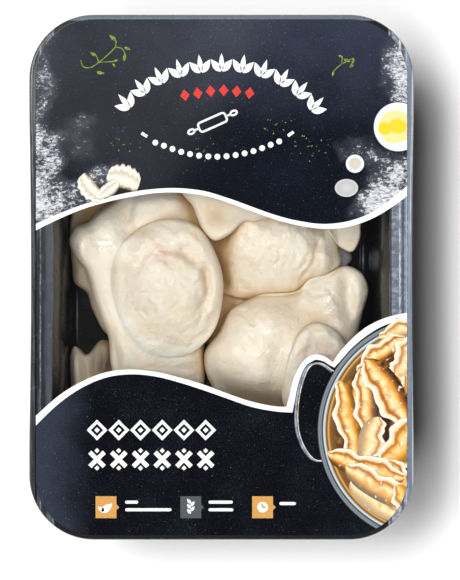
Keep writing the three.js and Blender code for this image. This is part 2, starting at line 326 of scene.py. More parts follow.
floorMaterial, graph = newMaterial("pale_floor")
specks = graph.noise(graph.place(), 40.0)
tone = graph.between(specks, studio["floor"], studio["floorSpecks"])
graph.surface({"Base Color": tone, "Roughness": 0.8, "Specular IOR Level": 0.1})
side = studio["floorSide"] / 2
corners = [(x * side, y * side, -0.2) for x, y in ((-1, -1), (1, -1), (1, 1), (-1, 1))]
floorMesh = meshOf("floor", corners, [(0, 1, 2, 3)])
floorMesh.materials.append(floorMaterial)
floor = bpy.data.objects.new("floor", floorMesh)
scene.collection.objects.link(floor)
lit["floor"].objects.link(floor)
print("camera, floor and light ready")

tray = {
    "width": 137,
    "length": 187,
    "height": 45,
    "waist": 0.6,  # the tight film draws the long sides in
    "waistReach": 58,
    "cornerRadius": 23,
    "wall": 0.8,
    "flange": 8,
    "draft": math.radians(3),
    "stepDepth": 3.6,
    "stepWidth": 1,
    "stepSlope": 0.8,
    "foot": 3.6,
    "lipDrop": 3,
    "lipRound": 1.2,
    "mouthEase": 0.5,
    "plastic": shade(23, 24, 27),
    "wornPlastic": shade(33, 35, 39),
    "leftSeal": shade(42, 44, 47),
    "leftStreaks": shade(76, 79, 85),
    # the right flange's tones are painted lighter: a painted reflection
    "rightSealPaintedSheen": shade(112, 119, 131),
    "rightStreaksPaintedSheen": shade(158, 167, 182),
    "lipGlint": shade(112, 122, 134),
    # light and dark lines along the flange and lip, the light ones painted highlights: where, half
    # width, colour and how broken
    "flangeLinesAndGlints": [
        (-68.3, 0.35, shade(128, 122, 112), 0.35),
        (-66.0, 0.5, shade(20, 21, 24), 0.0),
        (-64.4, 0.3, shade(150, 154, 160), 0.55),
        (-61.2, 1.4, shade(84, 90, 100), 0.15),
        (-59.9, 0.3, shade(128, 134, 144), 0.3),
        (60.3, 0.35, shade(60, 66, 76), 0.0),
        (63.4, 0.35, shade(226, 230, 238), 0.5),
        (64.5, 0.6, shade(78, 85, 96), 0.1),
        (65.7, 0.35, shade(168, 178, 192), 0.1),
        (66.5, 0.3, shade(118, 138, 164), 0.0),
        (68.0, 0.3, shade(206, 208, 210), 0.1),
    ],
    # glints on the floor's edge: middle, reach and strength
    "glints": [
        ((54.4, 7.6), (0.45, 6.0), 0.75),
        ((53.2, 7.2), (0.3, 5.0), 0.4),
        ((57.4, 6.4), (1.3, 5.0), 0.35),
        ((-55.4, -15.4), (0.35, 12.0), 0.6),
        ((-58.4, -13.0), (0.6, 16.0), 0.25),
    ],
    "glint": shade(190, 196, 204),
}


def trayRing(inset, z):
    halfWidth = tray["width"] / 2 - inset
    halfLength = tray["length"] / 2 - inset
    ring = roundedRect(halfWidth, halfLength, max(tray["cornerRadius"] - inset, 8))
    waist = tray["waist"] * np.maximum(0, 1 - (ring[:, 1] / tray["waistReach"]) ** 2)
    ring[:, 0] *= 1 - 2 * waist / tray["width"]
    return np.column_stack([ring, np.full(len(ring), z)])


def traySheet():  # insets and heights from under the base, over the lip, to the floor inside
    wall, height, flange = tray["wall"], tray["height"], tray["flange"]
    lip, ease = tray["lipRound"], tray["mouthEase"]
    stepTop = height - tray["stepDepth"]
    stepLow = stepTop - tray["stepSlope"]
    stepEdge = flange + tray["stepWidth"]
    footHigh = wall + tray["foot"]
    wallFoot = stepEdge + (stepLow - footHigh) * math.tan(tray["draft"])
    quarter = np.linspace(0, math.pi / 2, 8)

    def foot(radius):
        middle = wallFoot + tray["foot"]
        return [(middle - radius * math.cos(a), footHigh - radius * math.sin(a)) for a in quarter]

    outside = foot(tray["foot"] + wall)[::-1]
    outside += [(stepEdge - wall, stepLow - wall), (flange - wall, stepTop - wall)]
    outside += [(flange - wall, height - wall), (wall, height - wall)]
    outside += [(wall, height - tray["lipDrop"]), (0, height - tray["lipDrop"])]
    rim = [(lip - lip * math.cos(a), height - lip + lip * math.sin(a)) for a in quarter]
    rim += [
        (flange - ease + ease * math.sin(a), height - ease + ease * math.cos(a)) for a in quarter
    ]
    inside = [(flange, stepTop), (stepEdge, stepLow)] + foot(tray["foot"])
    return outside, rim + inside


outside, inside = traySheet()
rings = [trayRing(inset, z) for inset, z in outside + inside]
count = len(rings[0])
faces = [tuple(range(count))[::-1]]
for low in range(0, (len(rings) - 1) * count, count):
    for i in range(count):
        j = (i + 1) % count
        faces.append((low + i, low + j, low + count + j, low + count + i))
faces.append(tuple(range((len(rings) - 1) * count, len(rings) * count)))

trayMaterial, graph = newMaterial("black_tray_plastic")
place = graph.place()
x, y, z = graph.axes(place)
worn = graph.noise(place, 9.0, 5.0, 0.65)
black = graph.between(worn, tray["plastic"], tray["wornPlastic"])
# the seal leaves the flange streaked along the pack; the right flange is painted lighter, a painted
# reflection
flat = graph.fade(z, 44.3, 44.7)
streaks = graph.fade(graph.noise(place, 0.9, 4.0, 0.6, (1.0, 0.05, 1.0)), 0.42, 0.66)
wrinkles = graph.fade(graph.noise(place, 1.6, 4.0, 0.6, (0.5, 1.0, 1.0)), 0.4, 0.66)
leftTone = graph.between(streaks, tray["leftSeal"], tray["leftStreaks"])
rightSheenTone = graph.between(wrinkles, tray["rightSealPaintedSheen"], tray["rightStreaksPaintedSheen"])
sealAndSheenTone = graph.between(graph.fade(x, 56.0, 60.0), leftTone, rightSheenTone)
sides = graph.fade(graph.maths("ABSOLUTE", x), 59.0, 59.8)
tone = graph.between(flat * sides, black, sealAndSheenTone)
# the rim catches the light at the right and at the head end
outer = graph.fade(graph.maths("ABSOLUTE", x), 66.2, 66.9)
head = graph.fade(y, 90.9, 91.6)
rimLight = graph.maths("MAXIMUM", graph.fade(x, 64.0, 67.0) * outer, head * 0.8)
tone = graph.between(rimLight * flat, tone, tray["lipGlint"])
broken = graph.fade(graph.noise(place, 1.1, 3.0, 0.7, (1.0, 0.35, 1.0)), 0.4, 0.62)
wander = 0.5 * graph.noise(place, 6.0, 2.0, 0.5, (0.2, 1.0, 1.0)) - 0.25
# painted highlights, with dark lines, along the flange and lip
for where, half, colour, gaps in tray["flangeLinesAndGlints"]:
    off = graph.maths("ABSOLUTE", x + wander * gaps - where)
    line = 1.0 - graph.fade(off, 0.4 * half, half)
    line = line * (1.0 - 1.6 * gaps * (1.0 - broken)) * flat
    tone = graph.between(graph.maths("MAXIMUM", line, 0.0), tone, colour)
low = graph.attribute("inner") * (1.0 - graph.fade(z, 20.0, 24.0))
for middle, reach, strength in tray["glints"]:
    glint = graph.spot(x + 0.4 * wander, y, middle, reach) * (0.5 + 0.5 * broken) * low
    tone = graph.between(strength * glint, tone, tray["glint"])
grain = graph.noise(place, 0.35, 2.0)
ripple = graph.noise(place, 1.6, 3.0, 0.5, (1.0, 0.2, 1.0))
rough = 0.16 + 0.2 * worn
graph.surface(
    {
        "Base Color": tone,
        "Roughness": rough,
        "Coat Weight": 0.25,
        "Coat Roughness": 0.12,
        "Normal": graph.bump(ripple * flat, 0.25, graph.bump(grain, 0.02)),
    }
)
values = {"inner": np.repeat([0.0, 1.0], [count * len(outside), count * len(inside)])}
traySkin = addPiece("tray_shell", np.vstack(rings), faces, trayMaterial, "tray", True, values)
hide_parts("tray")
traySkin.data.polygons[0].use_smooth = False
traySkin.data.polygons[len(faces) - 1].use_smooth = False
print("tray ready")

dough = {
    "belly": 14,  # how far an underside sags where nothing holds it
    "domeShoulder": (0.6, 0.6, 0),
    "evenness": 12,  # degrees over which a bend of the outline is lost inside
    "reliefFade": 6,
    "softness": 1.4,  # how gently it bends over what lies below
    "drape": 1.0,
    "gap": 0.06,
    "thinEdge": 1.1,  # a thinner edge than this runs out flat
    "easing": 2.2,
    "cell": 0.5,
    "lumps": [(9.0, 0.5), (4.2, 0.3), (2.1, 0.17), (1.1, 0.07)],  # size and height
    # how far round a point the pile is taken in for its painted shade
    "paintedShadeReach": 3.5,
    "cream": shade(244, 227, 199),
    "pale": shade(249, 239, 221),
    # painted shade colour: ochre where hollows, creases and shadow fall
    "shadeOchre": shade(203, 170, 122),
    "blush": shade(238, 206, 184),
    # painted shade colours: the grey of dough in shade and the brown of dark shadow
    "grey": shade(184, 184, 188),
    "deep": shade(116, 100, 82),
}

# Outline corners, level and slope of the sealed edge, height and fullness of the mound, the
# edge's half thickness (least, greatest, towards) and folds (from, to, width, height).
# Creases are finer lines: points, width, height and how far they lean to one side. Tints are
# oval patches: middle, reach, how much painted shade (ochre) and how pink; below zero the
# ochre lightens, a painted light. Other patches are of gloss, of the painted grey of dough in
# shade and of painted dark shadow. "lie" is how softly it lies on others, "shoulder" how its
# mound falls off and "lumpy" how uneven it is. "size" counts the points round it and from its
# middle to its edge.
dumplings = {
    "left_floor": {
        "middle": (-38, -3),
        "corners": [
            (-56.5, 4), (-55.6, -2), (-51, -6), (-49, -12), (-43, -22), (-34, -23.5),
            (-23, -16), (-19.5, -1), (-25, 16), (-34, 29), (-44, 35), (-53.5, 32.5), (-57, 22),
        ],
        "level": 9, "slope": (0, 0.04), "mound": 6, "full": 2.6,
        "edge": (2.6, 2.6, 0),
        "folds": [(-53, 2, -46, 0, 3, 1.5), (-46, -8, -40, -14, 3, 1)],
        "creases": [],
        "tints": [(-46, 26, 14, 9, 1.0, 0.0), (-52, 0, 6, 8, 0.4, 0.0)],
        "size": (200, 60),
    },
    "front_left_floor": {
        "middle": (-44.5, -43),
        "corners": [
            (-56.8, -28.5), (-55.3, -26), (-51, -29.2), (-45.5, -23.8), (-41, -25), (-35, -32),
            (-32.5, -46), (-38, -57.5), (-49.5, -59), (-55.5, -50), (-56.9, -38),
        ],
        "level": 11, "slope": (0, 0), "mound": 5, "full": 2.6,
        "edge": (2.4, 2.4, 0),
        "folds": [
            (-51, -28, -49.5, -44, 2.2, -3.2),
            (-54.5, -30, -53.5, -45, 2.5, 2.4),
            (-46, -26.6, -41, -38, 2.5, 0.8),
            (-38, -34, -38, -52, 5, -2.4),
        ],
        "creases": [
            ([(-47.4, -25.6), (-45.6, -29), (-46.4, -34)], 0.8, -0.9, 0.2),
            ([(-43.4, -25.4), (-42.6, -29), (-44, -35)], 0.9, 0.7, 0.0),
        ],
        "lumpy": 0.6,
        # painted dark shadow where it lies under the others
        "deep": [(-43, -33, 5, 9, 0.95)],
        "tints": [(-42, -34, 6, 12, 0.9, 0.0), (-54.5, -38, 3, 11, -0.8, 0.0)],
        "size": (200, 60),
    },
    "middle_floor": {
        "middle": (8, -12),
        "corners": [
            (-12, -8.5), (-6, 2.5), (7, 5.5), (20, -1), (27, -12), (23, -25.5), (7, -29),
            (-8, -23.5),
        ],
        "level": 8, "slope": (0, 0), "mound": 6, "full": 2.4,
        "edge": (3, 3, 0),
        "folds": [],
        "creases": [],
        "size": (160, 50),
    },
    "right_floor": {
        "middle": (37, -1),
        "corners": [
            (49.5, 7.5), (47, 3), (47, -9), (42.5, -20), (34, -21.5), (29.5, -8), (28, 6),
            (30, 15), (36, 19.5), (43.5, 16),
        ],
        "level": 8, "slope": (0, 0), "mound": 4, "full": 2.4,
        "edge": (2.6, 2.6, 0),
        "folds": [],
        "creases": [],
        # painted grey of dough in shade
        "grey": [(46, 6, 8, 8, 1.0)],
        "size": (160, 50),
    },
    "left_under": {
        "middle": (-27, -5),
        "corners": [
            (-41, 28), (-30, 34), (-15, 34.5), (-5.5, 26), (-3.5, 8), (-5, -12), (-6.5, -27),
            (-6.8, -40), (-13, -48), (-26.5, -49.5), (-37, -44), (-41, -33), (-42, -22.5),
            (-45.3, -14), (-48.5, -4), (-50.5, 2.5), (-54.5, 8), (-56.6, 13.5), (-54.3, 19),
            (-49.5, 20.6), (-46, 24.5),
        ],
        "level": 18, "slope": (-0.1, -0.02), "mound": 9, "full": 3.2,
        "edge": (3, 3, 0),
        "folds": [
            (-36.5, 34, -35, 18, 4, -2.2),
            (-52, 15.5, -51, 10.5, 5, 3.0),
            (-43, 22, -40, 10, 5, 1.0),
            (-30, 27, -18, 29, 5, 2.6),
            (-20, 8, -20, -16, 13, -3.2),
            (-36, -3, -30, -24, 5, -1.4),
            (-42, -24, -40, -34, 3.4, -2.4),
            (-38, -47, -10, -47, 6.5, -5),
        ],
        "creases": [
            ([(-52.6, 17), (-50, 18.6), (-47, 17.4)], 0.9, -0.3, 0.3),
            ([(-25.6, -33), (-19, -32), (-12.4, -34)], 1.8, -0.3, 0.2),
            ([(-34, 31), (-33.4, 26.4), (-34.6, 22)], 1.5, -0.7, 0.3),
        ],
        "wet": [(-53, 15, 4, 5.5, 1.0), (-44, 12, 7, 4, 0.5), (-25, 27, 8, 3, 0.35)],
        "tints": [
            (-35, 26, 4, 7, 0.1, 0.0), (-14, 26, 6, 3, 0.1, 0.0), (-9, -34, 4, 6, 0.35, 0.0),
            (-49, 13, 7, 7, -0.45, 0.0), (-30, 24, 12, 5, -0.25, 0.0),
        ],
        "size": (460, 120),
    },
    "back_right": {
        "middle": (19, 13),
        "corners": [
            (-1, -5.5), (11, -8.7), (21.5, -8.7), (32.5, -5.5), (41, 0), (44.8, 5.5),
            (43.6, 10.5), (42, 19), (37, 27), (25, 34), (10.5, 36), (0, 30), (-7, 16), (-6.5, 3),
        ],
        "level": 15.5, "slope": (0.06, 0), "mound": 14, "full": 2.6,
        "edge": (2.4, 2.4, 0),
        "shoulder": (0.7, 0.7, 0), "lumpy": 1.6,
        "folds": [
            (-3, 22, -2, -2, 6, -6),
            (2, 34, 40, 28, 8, -6),
            (34.5, 18, 34, 9, 2.6, -0.9),
            (38.5, 6.5, 38.6, 3, 3.0, 1.3),
        ],
        "creases": [
            ([(35.5, 13), (34.2, 9.4), (34, 6.4), (32, 3.4), (28.6, -0.8)], 1.1, -0.9, 0.15),
            ([(31.4, 8), (30.2, 5), (28, 2.4), (26.8, -1)], 1.3, -0.6, 0.2),
            ([(20.6, 9.6), (21.0, 6.8), (19.6, 5)], 0.8, -0.6, 0.2),
            ([(18.6, 10.8), (21.4, 10.6), (23, 11.2)], 0.8, -0.35, -0.2),
            ([(36.2, 4.4), (37.6, 1.8), (40, 0.8)], 0.8, -0.4, 0.2),
        ],
        "wet": [(39, 4, 4, 4, 0.9), (12, 4, 9, 7, 0.4), (26, 10, 6, 8, 0.3), (14, 18, 8, 5, 0.3)],
        "tints": [(30, -1, 3.4, 3.4, 0.5, 0.0), (0, 8, 5, 9, 0.45, 0.0), (33.5, 8, 2, 5, 0.3, 0.0)],
        "size": (460, 120),
    },
    "back_corner": {
        "middle": (44, 31),
        "corners": [
            (51.8, 20), (51.5, 14.5), (48.6, 9.5), (44.6, 10.8), (41, 14.4), (37.6, 20),
            (33, 28), (30, 36), (31, 44), (40, 48.5), (50.5, 46.5), (56.5, 37.5), (55, 27),
        ],
        "level": 22, "slope": (0, 0.1), "mound": 6, "full": 2.2,
        "edge": (0.1, 2.0, -0.4),
        "shoulder": (0.6, 2.2, 3.3), "lie": 3.4,
        "folds": [],
        "creases": [],
        "size": (240, 60),
    },
    "front_right": {
        "middle": (22, -27),
        "corners": [
            (3, -12.3), (-1, -20), (-6, -27), (-6.4, -33), (-3.5, -41), (1.5, -49), (12, -55),
            (28.5, -55), (42, -45.5), (48.5, -30), (52.3, -14), (54.6, -4.5), (52, 1.6),
            (46.4, 4.2), (38, 1), (32.5, -0.5), (27.5, -5), (15, -6.2), (8.5, -9),
        ],
        "level": 19, "slope": (-0.03, 0.06), "mound": 14, "full": 2.2,
        "edge": (1, 2.4, -1.9),
        "lumpy": 0.6,
        "folds": [
            (-1, -30, 12, -34, 9, 1.5),
            (14, -10, 20, -18, 5, 1.2),
            (47, -1, 46.5, -12, 3, -2.6),
            (51, -3, 50, -8, 3, 1),
            (44, -10, 34, -18, 8, -2.6),
            (17, -48, 21, -26, 3.5, -1.8),
            (28, -12, 24, -20, 5, -1.2),
            (-6, -49, 28, -54, 9.5, -13),
        ],
        "creases": [
            ([(10, -7.6), (16, -7), (25.4, -6.6)], 0.9, 0.6, 0.0),
            ([(27.6, -5.4), (31.6, -2.2), (37, -0.8), (43, 1.8)], 0.9, 0.8, 0.0),
            ([(12, -10), (19, -9.8), (25, -9.4)], 1.6, -0.4, 0.2),
            ([(2, -12.8), (6, -13.2), (9, -15), (10.6, -17)], 1.2, -0.8, 0.3),
            ([(6.4, -9.6), (7.6, -10.6)], 1.3, 1.3, 0.0),
            ([(5.4, -12), (8.6, -12.4)], 0.6, -0.6, 0.2),
            ([(31, -5), (34, -7), (37, -6.6)], 1.1, -0.4, 0.3),
            ([(38.6, -4.6), (41, -6.8), (42.4, -9.6)], 1.2, -0.4, 0.3),
        ],
        "wet": [
            (10, -36, 12, 8, 0.8), (30, -6, 8, 4, 0.5), (40, -8, 4, 5, 0.5), (52, -6, 3, 5, 0.8),
            (20, -26, 8, 8, 0.5),
        ],
        "tints": [
            (28, -13, 7, 5, 0.42, 0.0), (36, -16, 6, 3, 0.3, 0.0), (13, -43, 14, 5, 0.25, 0.0),
        ],
        "size": (460, 120),
    },
    "front_top": {
        "middle": (36, -38),
        "corners": [
            (34.5, -16.3), (41, -18.6), (45.5, -23.3), (48.5, -32), (47, -44), (39, -53),
            (28.5, -54.5), (22.5, -46), (23, -35), (25.2, -26.5), (29, -19.1),
        ],
        "level": 29, "slope": (-0.06, -0.02), "mound": 6, "full": 5,
        "edge": (0.15, 2.2, 1.3),
        "shoulder": (0.8, 1.4, 2.4), "lie": 3.4, "lumpy": 1.5,
        "folds": [
            (34, -25.5, 38.5, -27.5, 4.2, -1.6),
            (36, -34, 37, -44, 7, -2.4),
            (27.6, -27, 31, -20.6, 2.4, 0.9),
            (31, -20.6, 38, -19.6, 2.4, 0.9),
            (38, -19.6, 44, -25, 2.4, 0.8),
        ],
        "creases": [
            ([(31.5, -25.4), (34, -24.4), (36.6, -25.4)], 1.2, -0.4, -0.3),
            ([(34.6, -28.4), (36.4, -27.4), (37.8, -28.6)], 1.3, 0.6, 0.0),
            ([(39.6, -27.8), (40.2, -29.8), (39.4, -31.4)], 1.3, 0.45, 0.0),
        ],
        "tints": [(36, -30, 9, 8, -0.4, 0.5)],
        "size": (340, 100),
    },
    "left_top": {
        "middle": (-20, -5),
        "corners": [
            (-20.5, 21.5), (-8.5, 18.5), (-1, 6), (0.7, -5), (-3, -20), (-13, -28.7),
            (-26, -28.5), (-36, -18), (-40.5, 2), (-33, 16),
        ],
        "level": 27, "slope": (0.03, 0.02), "mound": 9, "full": 2.6,
        "edge": (0.12, 2.2, 0.75),
        "shoulder": (0.85, 2.2, -1.95), "lie": 3.4, "lumpy": 1.2,
        "folds": [
            (-34, 8, -24, 17.5, 3.4, 0.8),
            (-35, 2, -30, 11, 2.2, -0.3),
            (-24, 2, -18, -14, 8, 0.6),
            (-13.6, 9.6, -12.4, 10.4, 2.4, -1.6),
            (-9.8, 6.6, -8.6, 7.4, 1.5, -0.9),
            (-5.6, 2.0, -4.6, -5.4, 1.7, -1.5),
            (-6.4, -9.4, -5.4, -10.6, 1.6, -0.9),
            (-8.4, 1.6, -9.4, -2.4, 2.2, 0.6),
            (-10.4, -6.4, -9.6, -8.4, 2.2, 0.5),
        ],
        "creases": [
            (
                [
                    (-20, 9.2), (-15, 8.8), (-11.5, 5.8), (-8.4, 3.2), (-6.0, 1.0),
                    (-5.4, -3), (-5.8, -7), (-7.6, -9.6),
                ],
                1.7, -1.0, 0.3,
            ),
            (
                [(-13, 14.5), (-7, 11), (-3.2, 5), (-1.8, -2.5), (-2.4, -10), (-5.2, -18)],
                3.0, 0.7, 0.0,
            ),
            ([(-14.6, 8.8), (-13.6, 10.8), (-13.6, 13)], 0.9, -0.5, 0.2),
            ([(-9.5, 3.8), (-7.4, 5.6), (-5.6, 5.4)], 0.8, -0.5, 0.2),
            ([(-9.6, -2.4), (-7.4, -1.6), (-5.6, -2.6)], 0.8, -0.4, 0.2),
            ([(-9.4, -8.6), (-7.4, -8), (-5.4, -8.8)], 0.8, -0.5, 0.2),
            ([(-29.4, -6.4), (-27.6, -5.8), (-26, -6.6)], 0.8, -0.22, 0.2),
            ([(-29, -12.8), (-27, -14.2), (-25, -13.6), (-23.4, -10.6)], 1.0, -0.4, 0.25),
            ([(-8.2, -17.4), (-7.2, -15.2), (-7, -13.4)], 0.8, -0.5, 0.2),
            ([(-12.6, -26.6), (-8.6, -23), (-4.6, -20.4)], 0.7, -0.45, 0.3),
            ([(-10.4, -23.2), (-7, -20.6), (-4.2, -18.4)], 0.6, -0.35, 0.3),
            ([(-31, 1), (-28.6, 6.5), (-23.6, 11.5)], 2.0, -0.3, 0.2),
        ],
        "tints": [
            (-20, 8, 7, 5, 0.0, 0.55), (-5.2, -2, 1.6, 6, 0.22, 0.35), (-8, 5, 3, 2, 0.12, 0.3),
            (-39.6, -2, 2.4, 14, 0.35, 0.0), (-31, 17, 6, 2.4, 0.3, 0.1),
        ],
        "wet": [(-27, -20, 9, 5, 0.25), (-7, -15, 2.5, 4, 0.5)],
        "size": (460, 130),
    },
    "back_top": {
        "middle": (3, 31),
        "corners": [
            (-14, 30), (-10.6, 26), (-8.8, 21.5), (-6.8, 17.3), (-2.5, 13.4), (3, 15.6),
            (8, 20), (13, 20.3), (21, 24), (23, 33), (14, 45.5), (-2.5, 51), (-16, 45.5),
            (-17.5, 37),
        ],
        "level": 32, "slope": (0, 0.2), "mound": 4.5, "full": 2.2,
        "edge": (1.2, 1.6, 1.6),
        "folds": [(-3, 27, -2, 19, 3, -1)],
        "creases": [([(-8.6, 23), (-6, 17.4), (-2.4, 14.6), (2, 16)], 0.9, 0.5, 0.0)],
        "tints": [(-2, 22, 4, 4, 0.55, 0.0)],
        "size": (300, 80),
    },
}


class Pile:  # heights of all that lies in the tray so far, on a grid
    def __init__(self):
        self.cell = dough["cell"]
        self.columns = int(tray["width"] / self.cell)
        self.rows = int(tray["length"] / self.cell)
        across = (np.arange(self.columns) - self.columns / 2) * self.cell
        along = (np.arange(self.rows) - self.rows / 2) * self.cell
        self.x, self.y = np.meshgrid(across, along)
        self.heights = np.full(self.x.shape, float(tray["wall"]))
        self.rest()

    def rest(self):  # what the next dumpling lies on
        steps = int(dough["drape"] / self.cell)
        raised = self.heights.copy()
        for i in range(-steps, steps + 1):
            for j in range(-steps, steps + 1):
                raised = np.maximum(raised, np.roll(self.heights, (i, j), (0, 1)))
        self.support = self.blurred(raised, 0.7)

    def blurred(self, field, reach):
        reach /= self.cell
        steps = np.arange(-int(3 * reach) - 1, int(3 * reach) + 2)
        weights = np.exp(-0.5 * (steps / reach) ** 2)
        for axis in (0, 1):
            field = sum(
                weight * np.roll(field, step, axis)
                for step, weight in zip(steps, weights / weights.sum())
            )
        return field

    def at(self, field, x, y):
        column = np.clip(x / self.cell + self.columns / 2, 0, self.columns - 1.01)
        row = np.clip(y / self.cell + self.rows / 2, 0, self.rows - 1.01)
        left, low = column.astype(int), row.astype(int)
        u, v = column - left, row - low
        first = field[low, left] * (1 - u) + field[low, left + 1] * u
        second = field[low + 1, left] * (1 - u) + field[low + 1, left + 1] * u
        return first * (1 - v) + second * v


def unevenness(x, y, seed):
    total = 0
    for size, height in dough["lumps"]:
        values = np.random.default_rng(seed).uniform(-1, 1, (128, 128))
        seed += 1
        across, along = x / size + 64, y / size + 64
        left, low = np.floor(across).astype(int), np.floor(along).astype(int)
        u, v = across - left, along - low
        u, v = u * u * (3 - 2 * u), v * v * (3 - 2 * v)
        left, low, right, high = left % 128, low % 128, (left + 1) % 128, (low + 1) % 128
        first = values[low, left] * (1 - u) + values[low, right] * u
        second = values[high, left] * (1 - u) + values[high, right] * u
        total = total + height * (first * (1 - v) + second * v)
    return total


def lineDistance(x, y, points):  # to a line of points, and on which side of it
    nearest = np.full(x.shape, 1e9)
    side = np.ones(x.shape)
    for (x1, y1), (x2, y2) in zip(points[:-1], points[1:]):
        alongX, alongY = x2 - x1, y2 - y1
        t = ((x - x1) * alongX + (y - y1) * alongY) / (alongX**2 + alongY**2)
        t = np.clip(t, 0, 1)
        distance = np.hypot(x - x1 - t * alongX, y - y1 - t * alongY)
        turn = np.sign(alongX * (y - y1) - alongY * (x - x1))
        side = np.where(distance < nearest, turn, side)
        nearest = np.minimum(nearest, distance)
    return nearest, side


def softMax(a, b, softness):
    return (a + b + np.sqrt((a - b) ** 2 + softness**2 + 1e-12)) / 2 - softness / 4


class Dumpling:
    def __init__(self, sizes, pile, seed):
        self.sizes = sizes
        self.pile = pile
        self.seed = seed
        outline = throughPoints(sizes["corners"], 40, True) - np.array(sizes["middle"])
        angles = np.arctan2(outline[:, 1], outline[:, 0])
        order = np.argsort(angles)
        self.angles = angles[order]
        self.reaches = np.hypot(*outline[order].T)
        self.turns = np.radians(np.arange(-180, 180))
        weights = np.exp(-0.5 * (np.arange(-40, 41) / dough["evenness"]) ** 2)
        reaches = self.reach(self.turns)
        self.evened = sum(
            weight * np.roll(reaches, step)
            for step, weight in zip(range(-40, 41), weights / weights.sum())
        )

    def reach(self, angle):
        return np.interp(angle, self.angles, self.reaches, period=2 * math.pi)

    def evenShare(self, angle, distance, share):  # the share of an evened outline, inside
        evened = np.interp(angle, self.turns, self.evened, period=2 * math.pi)
        weight = share**3
        return np.minimum(share * weight + distance / evened * (1 - weight), 1)

    def heights(self, x, y):
        s = self.sizes
        dx, dy = x - s["middle"][0], y - s["middle"][1]
        angle = np.arctan2(dy, dx)
        reach = self.reach(angle)
        distance = np.hypot(dx, dy)
        share = np.minimum(distance / reach, 1)
        least, greatest, towards = s["edge"]
        facing = (1 + np.cos(angle - towards)) / 2
        rim = least + (greatest - least) * (facing * share) ** 2
        inside = (1 - share) * reach
        inward = np.minimum(inside / np.maximum(rim, dough["thinEdge"]), 1)
        rounded = np.sqrt(1 - (1 - inward) ** 2)
        steep, flat, towards = s.get("shoulder", dough["domeShoulder"])
        shoulder = steep + (flat - steep) * ((1 + np.cos(angle - towards)) / 2) ** 2
        dome = (1 - self.evenShare(angle, distance, share) ** s["full"]) ** shoulder
        seat = s["level"] + s["slope"][0] * dx + s["slope"][1] * dy
        relief = unevenness(x, y, self.seed) * s.get("lumpy", 1)
        for x1, y1, x2, y2, width, height in s["folds"]:
            distance = lineDistance(x, y, [(x1, y1), (x2, y2)])[0] / width
            relief = relief + height * np.exp(-(distance**2))
        for points, width, height, lean in s["creases"]:
            path = throughPoints(points, 5) if len(points) > 2 else points
            distance, side = lineDistance(x, y, path)
            distance = distance / width
            form = 1 - abs(lean) + 2.33 * lean * side * distance
            relief = relief + height * form * np.exp(-(distance**2))
        fade = np.minimum(rounded, (1 - share) * dough["reliefFade"])
        thick = rim * rounded
        ease = 1 - np.exp(-inside / dough["easing"])
        soft = s.get("lie", dough["softness"]) * ease
        below = self.pile.at(self.pile.heights, x, y)
        support = below + (self.pile.at(self.pile.support, x, y) - below) * ease + dough["gap"]
        low = softMax(seat - thick - dough["belly"] * dome, support, soft)
        top = softMax(seat + thick + s["mound"] * dome, low + 2 * thick, soft) + relief * fade
        return low, np.maximum(top, low), share < 1

    def steepness(self, points):  # of the top, as rise over run
        x, y = points[:, 0], points[:, 1]
        rises = []
        for overX, overY in ((0.3, 0), (0, 0.3)):
            ahead = self.heights(x + overX, y + overY)[1]
            rises.append(ahead - self.heights(x - overX, y - overY)[1])
        return np.hypot(*rises) / 0.6

    def skin(self):  # rings of points from the top's middle to the middle underneath
        spokes, circles = self.sizes["size"]
        shares = 1 - (1 - np.linspace(0, 1, circles + 1)[1:]) ** 1.6
        under = np.array([0.99, 0.96, 0.9, 0.8, 0.65, 0.45, 0.2])
        angle = np.linspace(-math.pi, math.pi, spokes, endpoint=False)
        reach = self.reach(angle)
        rings = []
        for share, side in [(s, 1) for s in shares] + [(s, 0) for s in under]:
            x = self.sizes["middle"][0] + reach * share * np.cos(angle)
            y = self.sizes["middle"][1] + reach * share * np.sin(angle)
            rings.append(np.column_stack([x, y, self.heights(x, y)[side]]))
        middle = np.array([self.sizes["middle"]], float)
        low, top, _ = self.heights(middle[:, 0], middle[:, 1])
        points = np.vstack([*rings, [[*middle[0], top[0]], [*middle[0], low[0]]]])
        faces = []
        for ring in range(len(rings) - 1):
            first = ring * spokes + np.arange(spokes)
            after = ring * spokes + (np.arange(spokes) + 1) % spokes
            faces += np.column_stack([first, first + spokes, after + spokes, after]).tolist()
        last = (len(rings) - 1) * spokes
        for i in range(spokes):
            j = (i + 1) % spokes
            faces += [[len(points) - 2, i, j], [len(points) - 1, last + j, last + i]]
        return points, faces


doughMaterial, graph = newMaterial("boiled_dough")
place = graph.place()
hollow, pink, glisten = [graph.attribute(name) for name in ("hollow", "pink", "wet")]
clouds = graph.noise(place, 8.0, 4.0, 0.6)
mottle = graph.noise(place, 2.6, 4.0, 0.65)
tone = graph.between(graph.fade(clouds, 0.12, 0.74), dough["cream"], dough["pale"])
tone = graph.between(graph.fade(mottle, 0.5, 0.75) * 0.2, tone, dough["pale"])
tone = graph.between(graph.fade(pink + 0.8 * mottle, 0.45, 1.3), tone, dough["blush"])
# painted shade: ochre in hollows, creases and on steep sides
tone = graph.between(graph.maths("MINIMUM", hollow, 1.0), tone, dough["shadeOchre"])
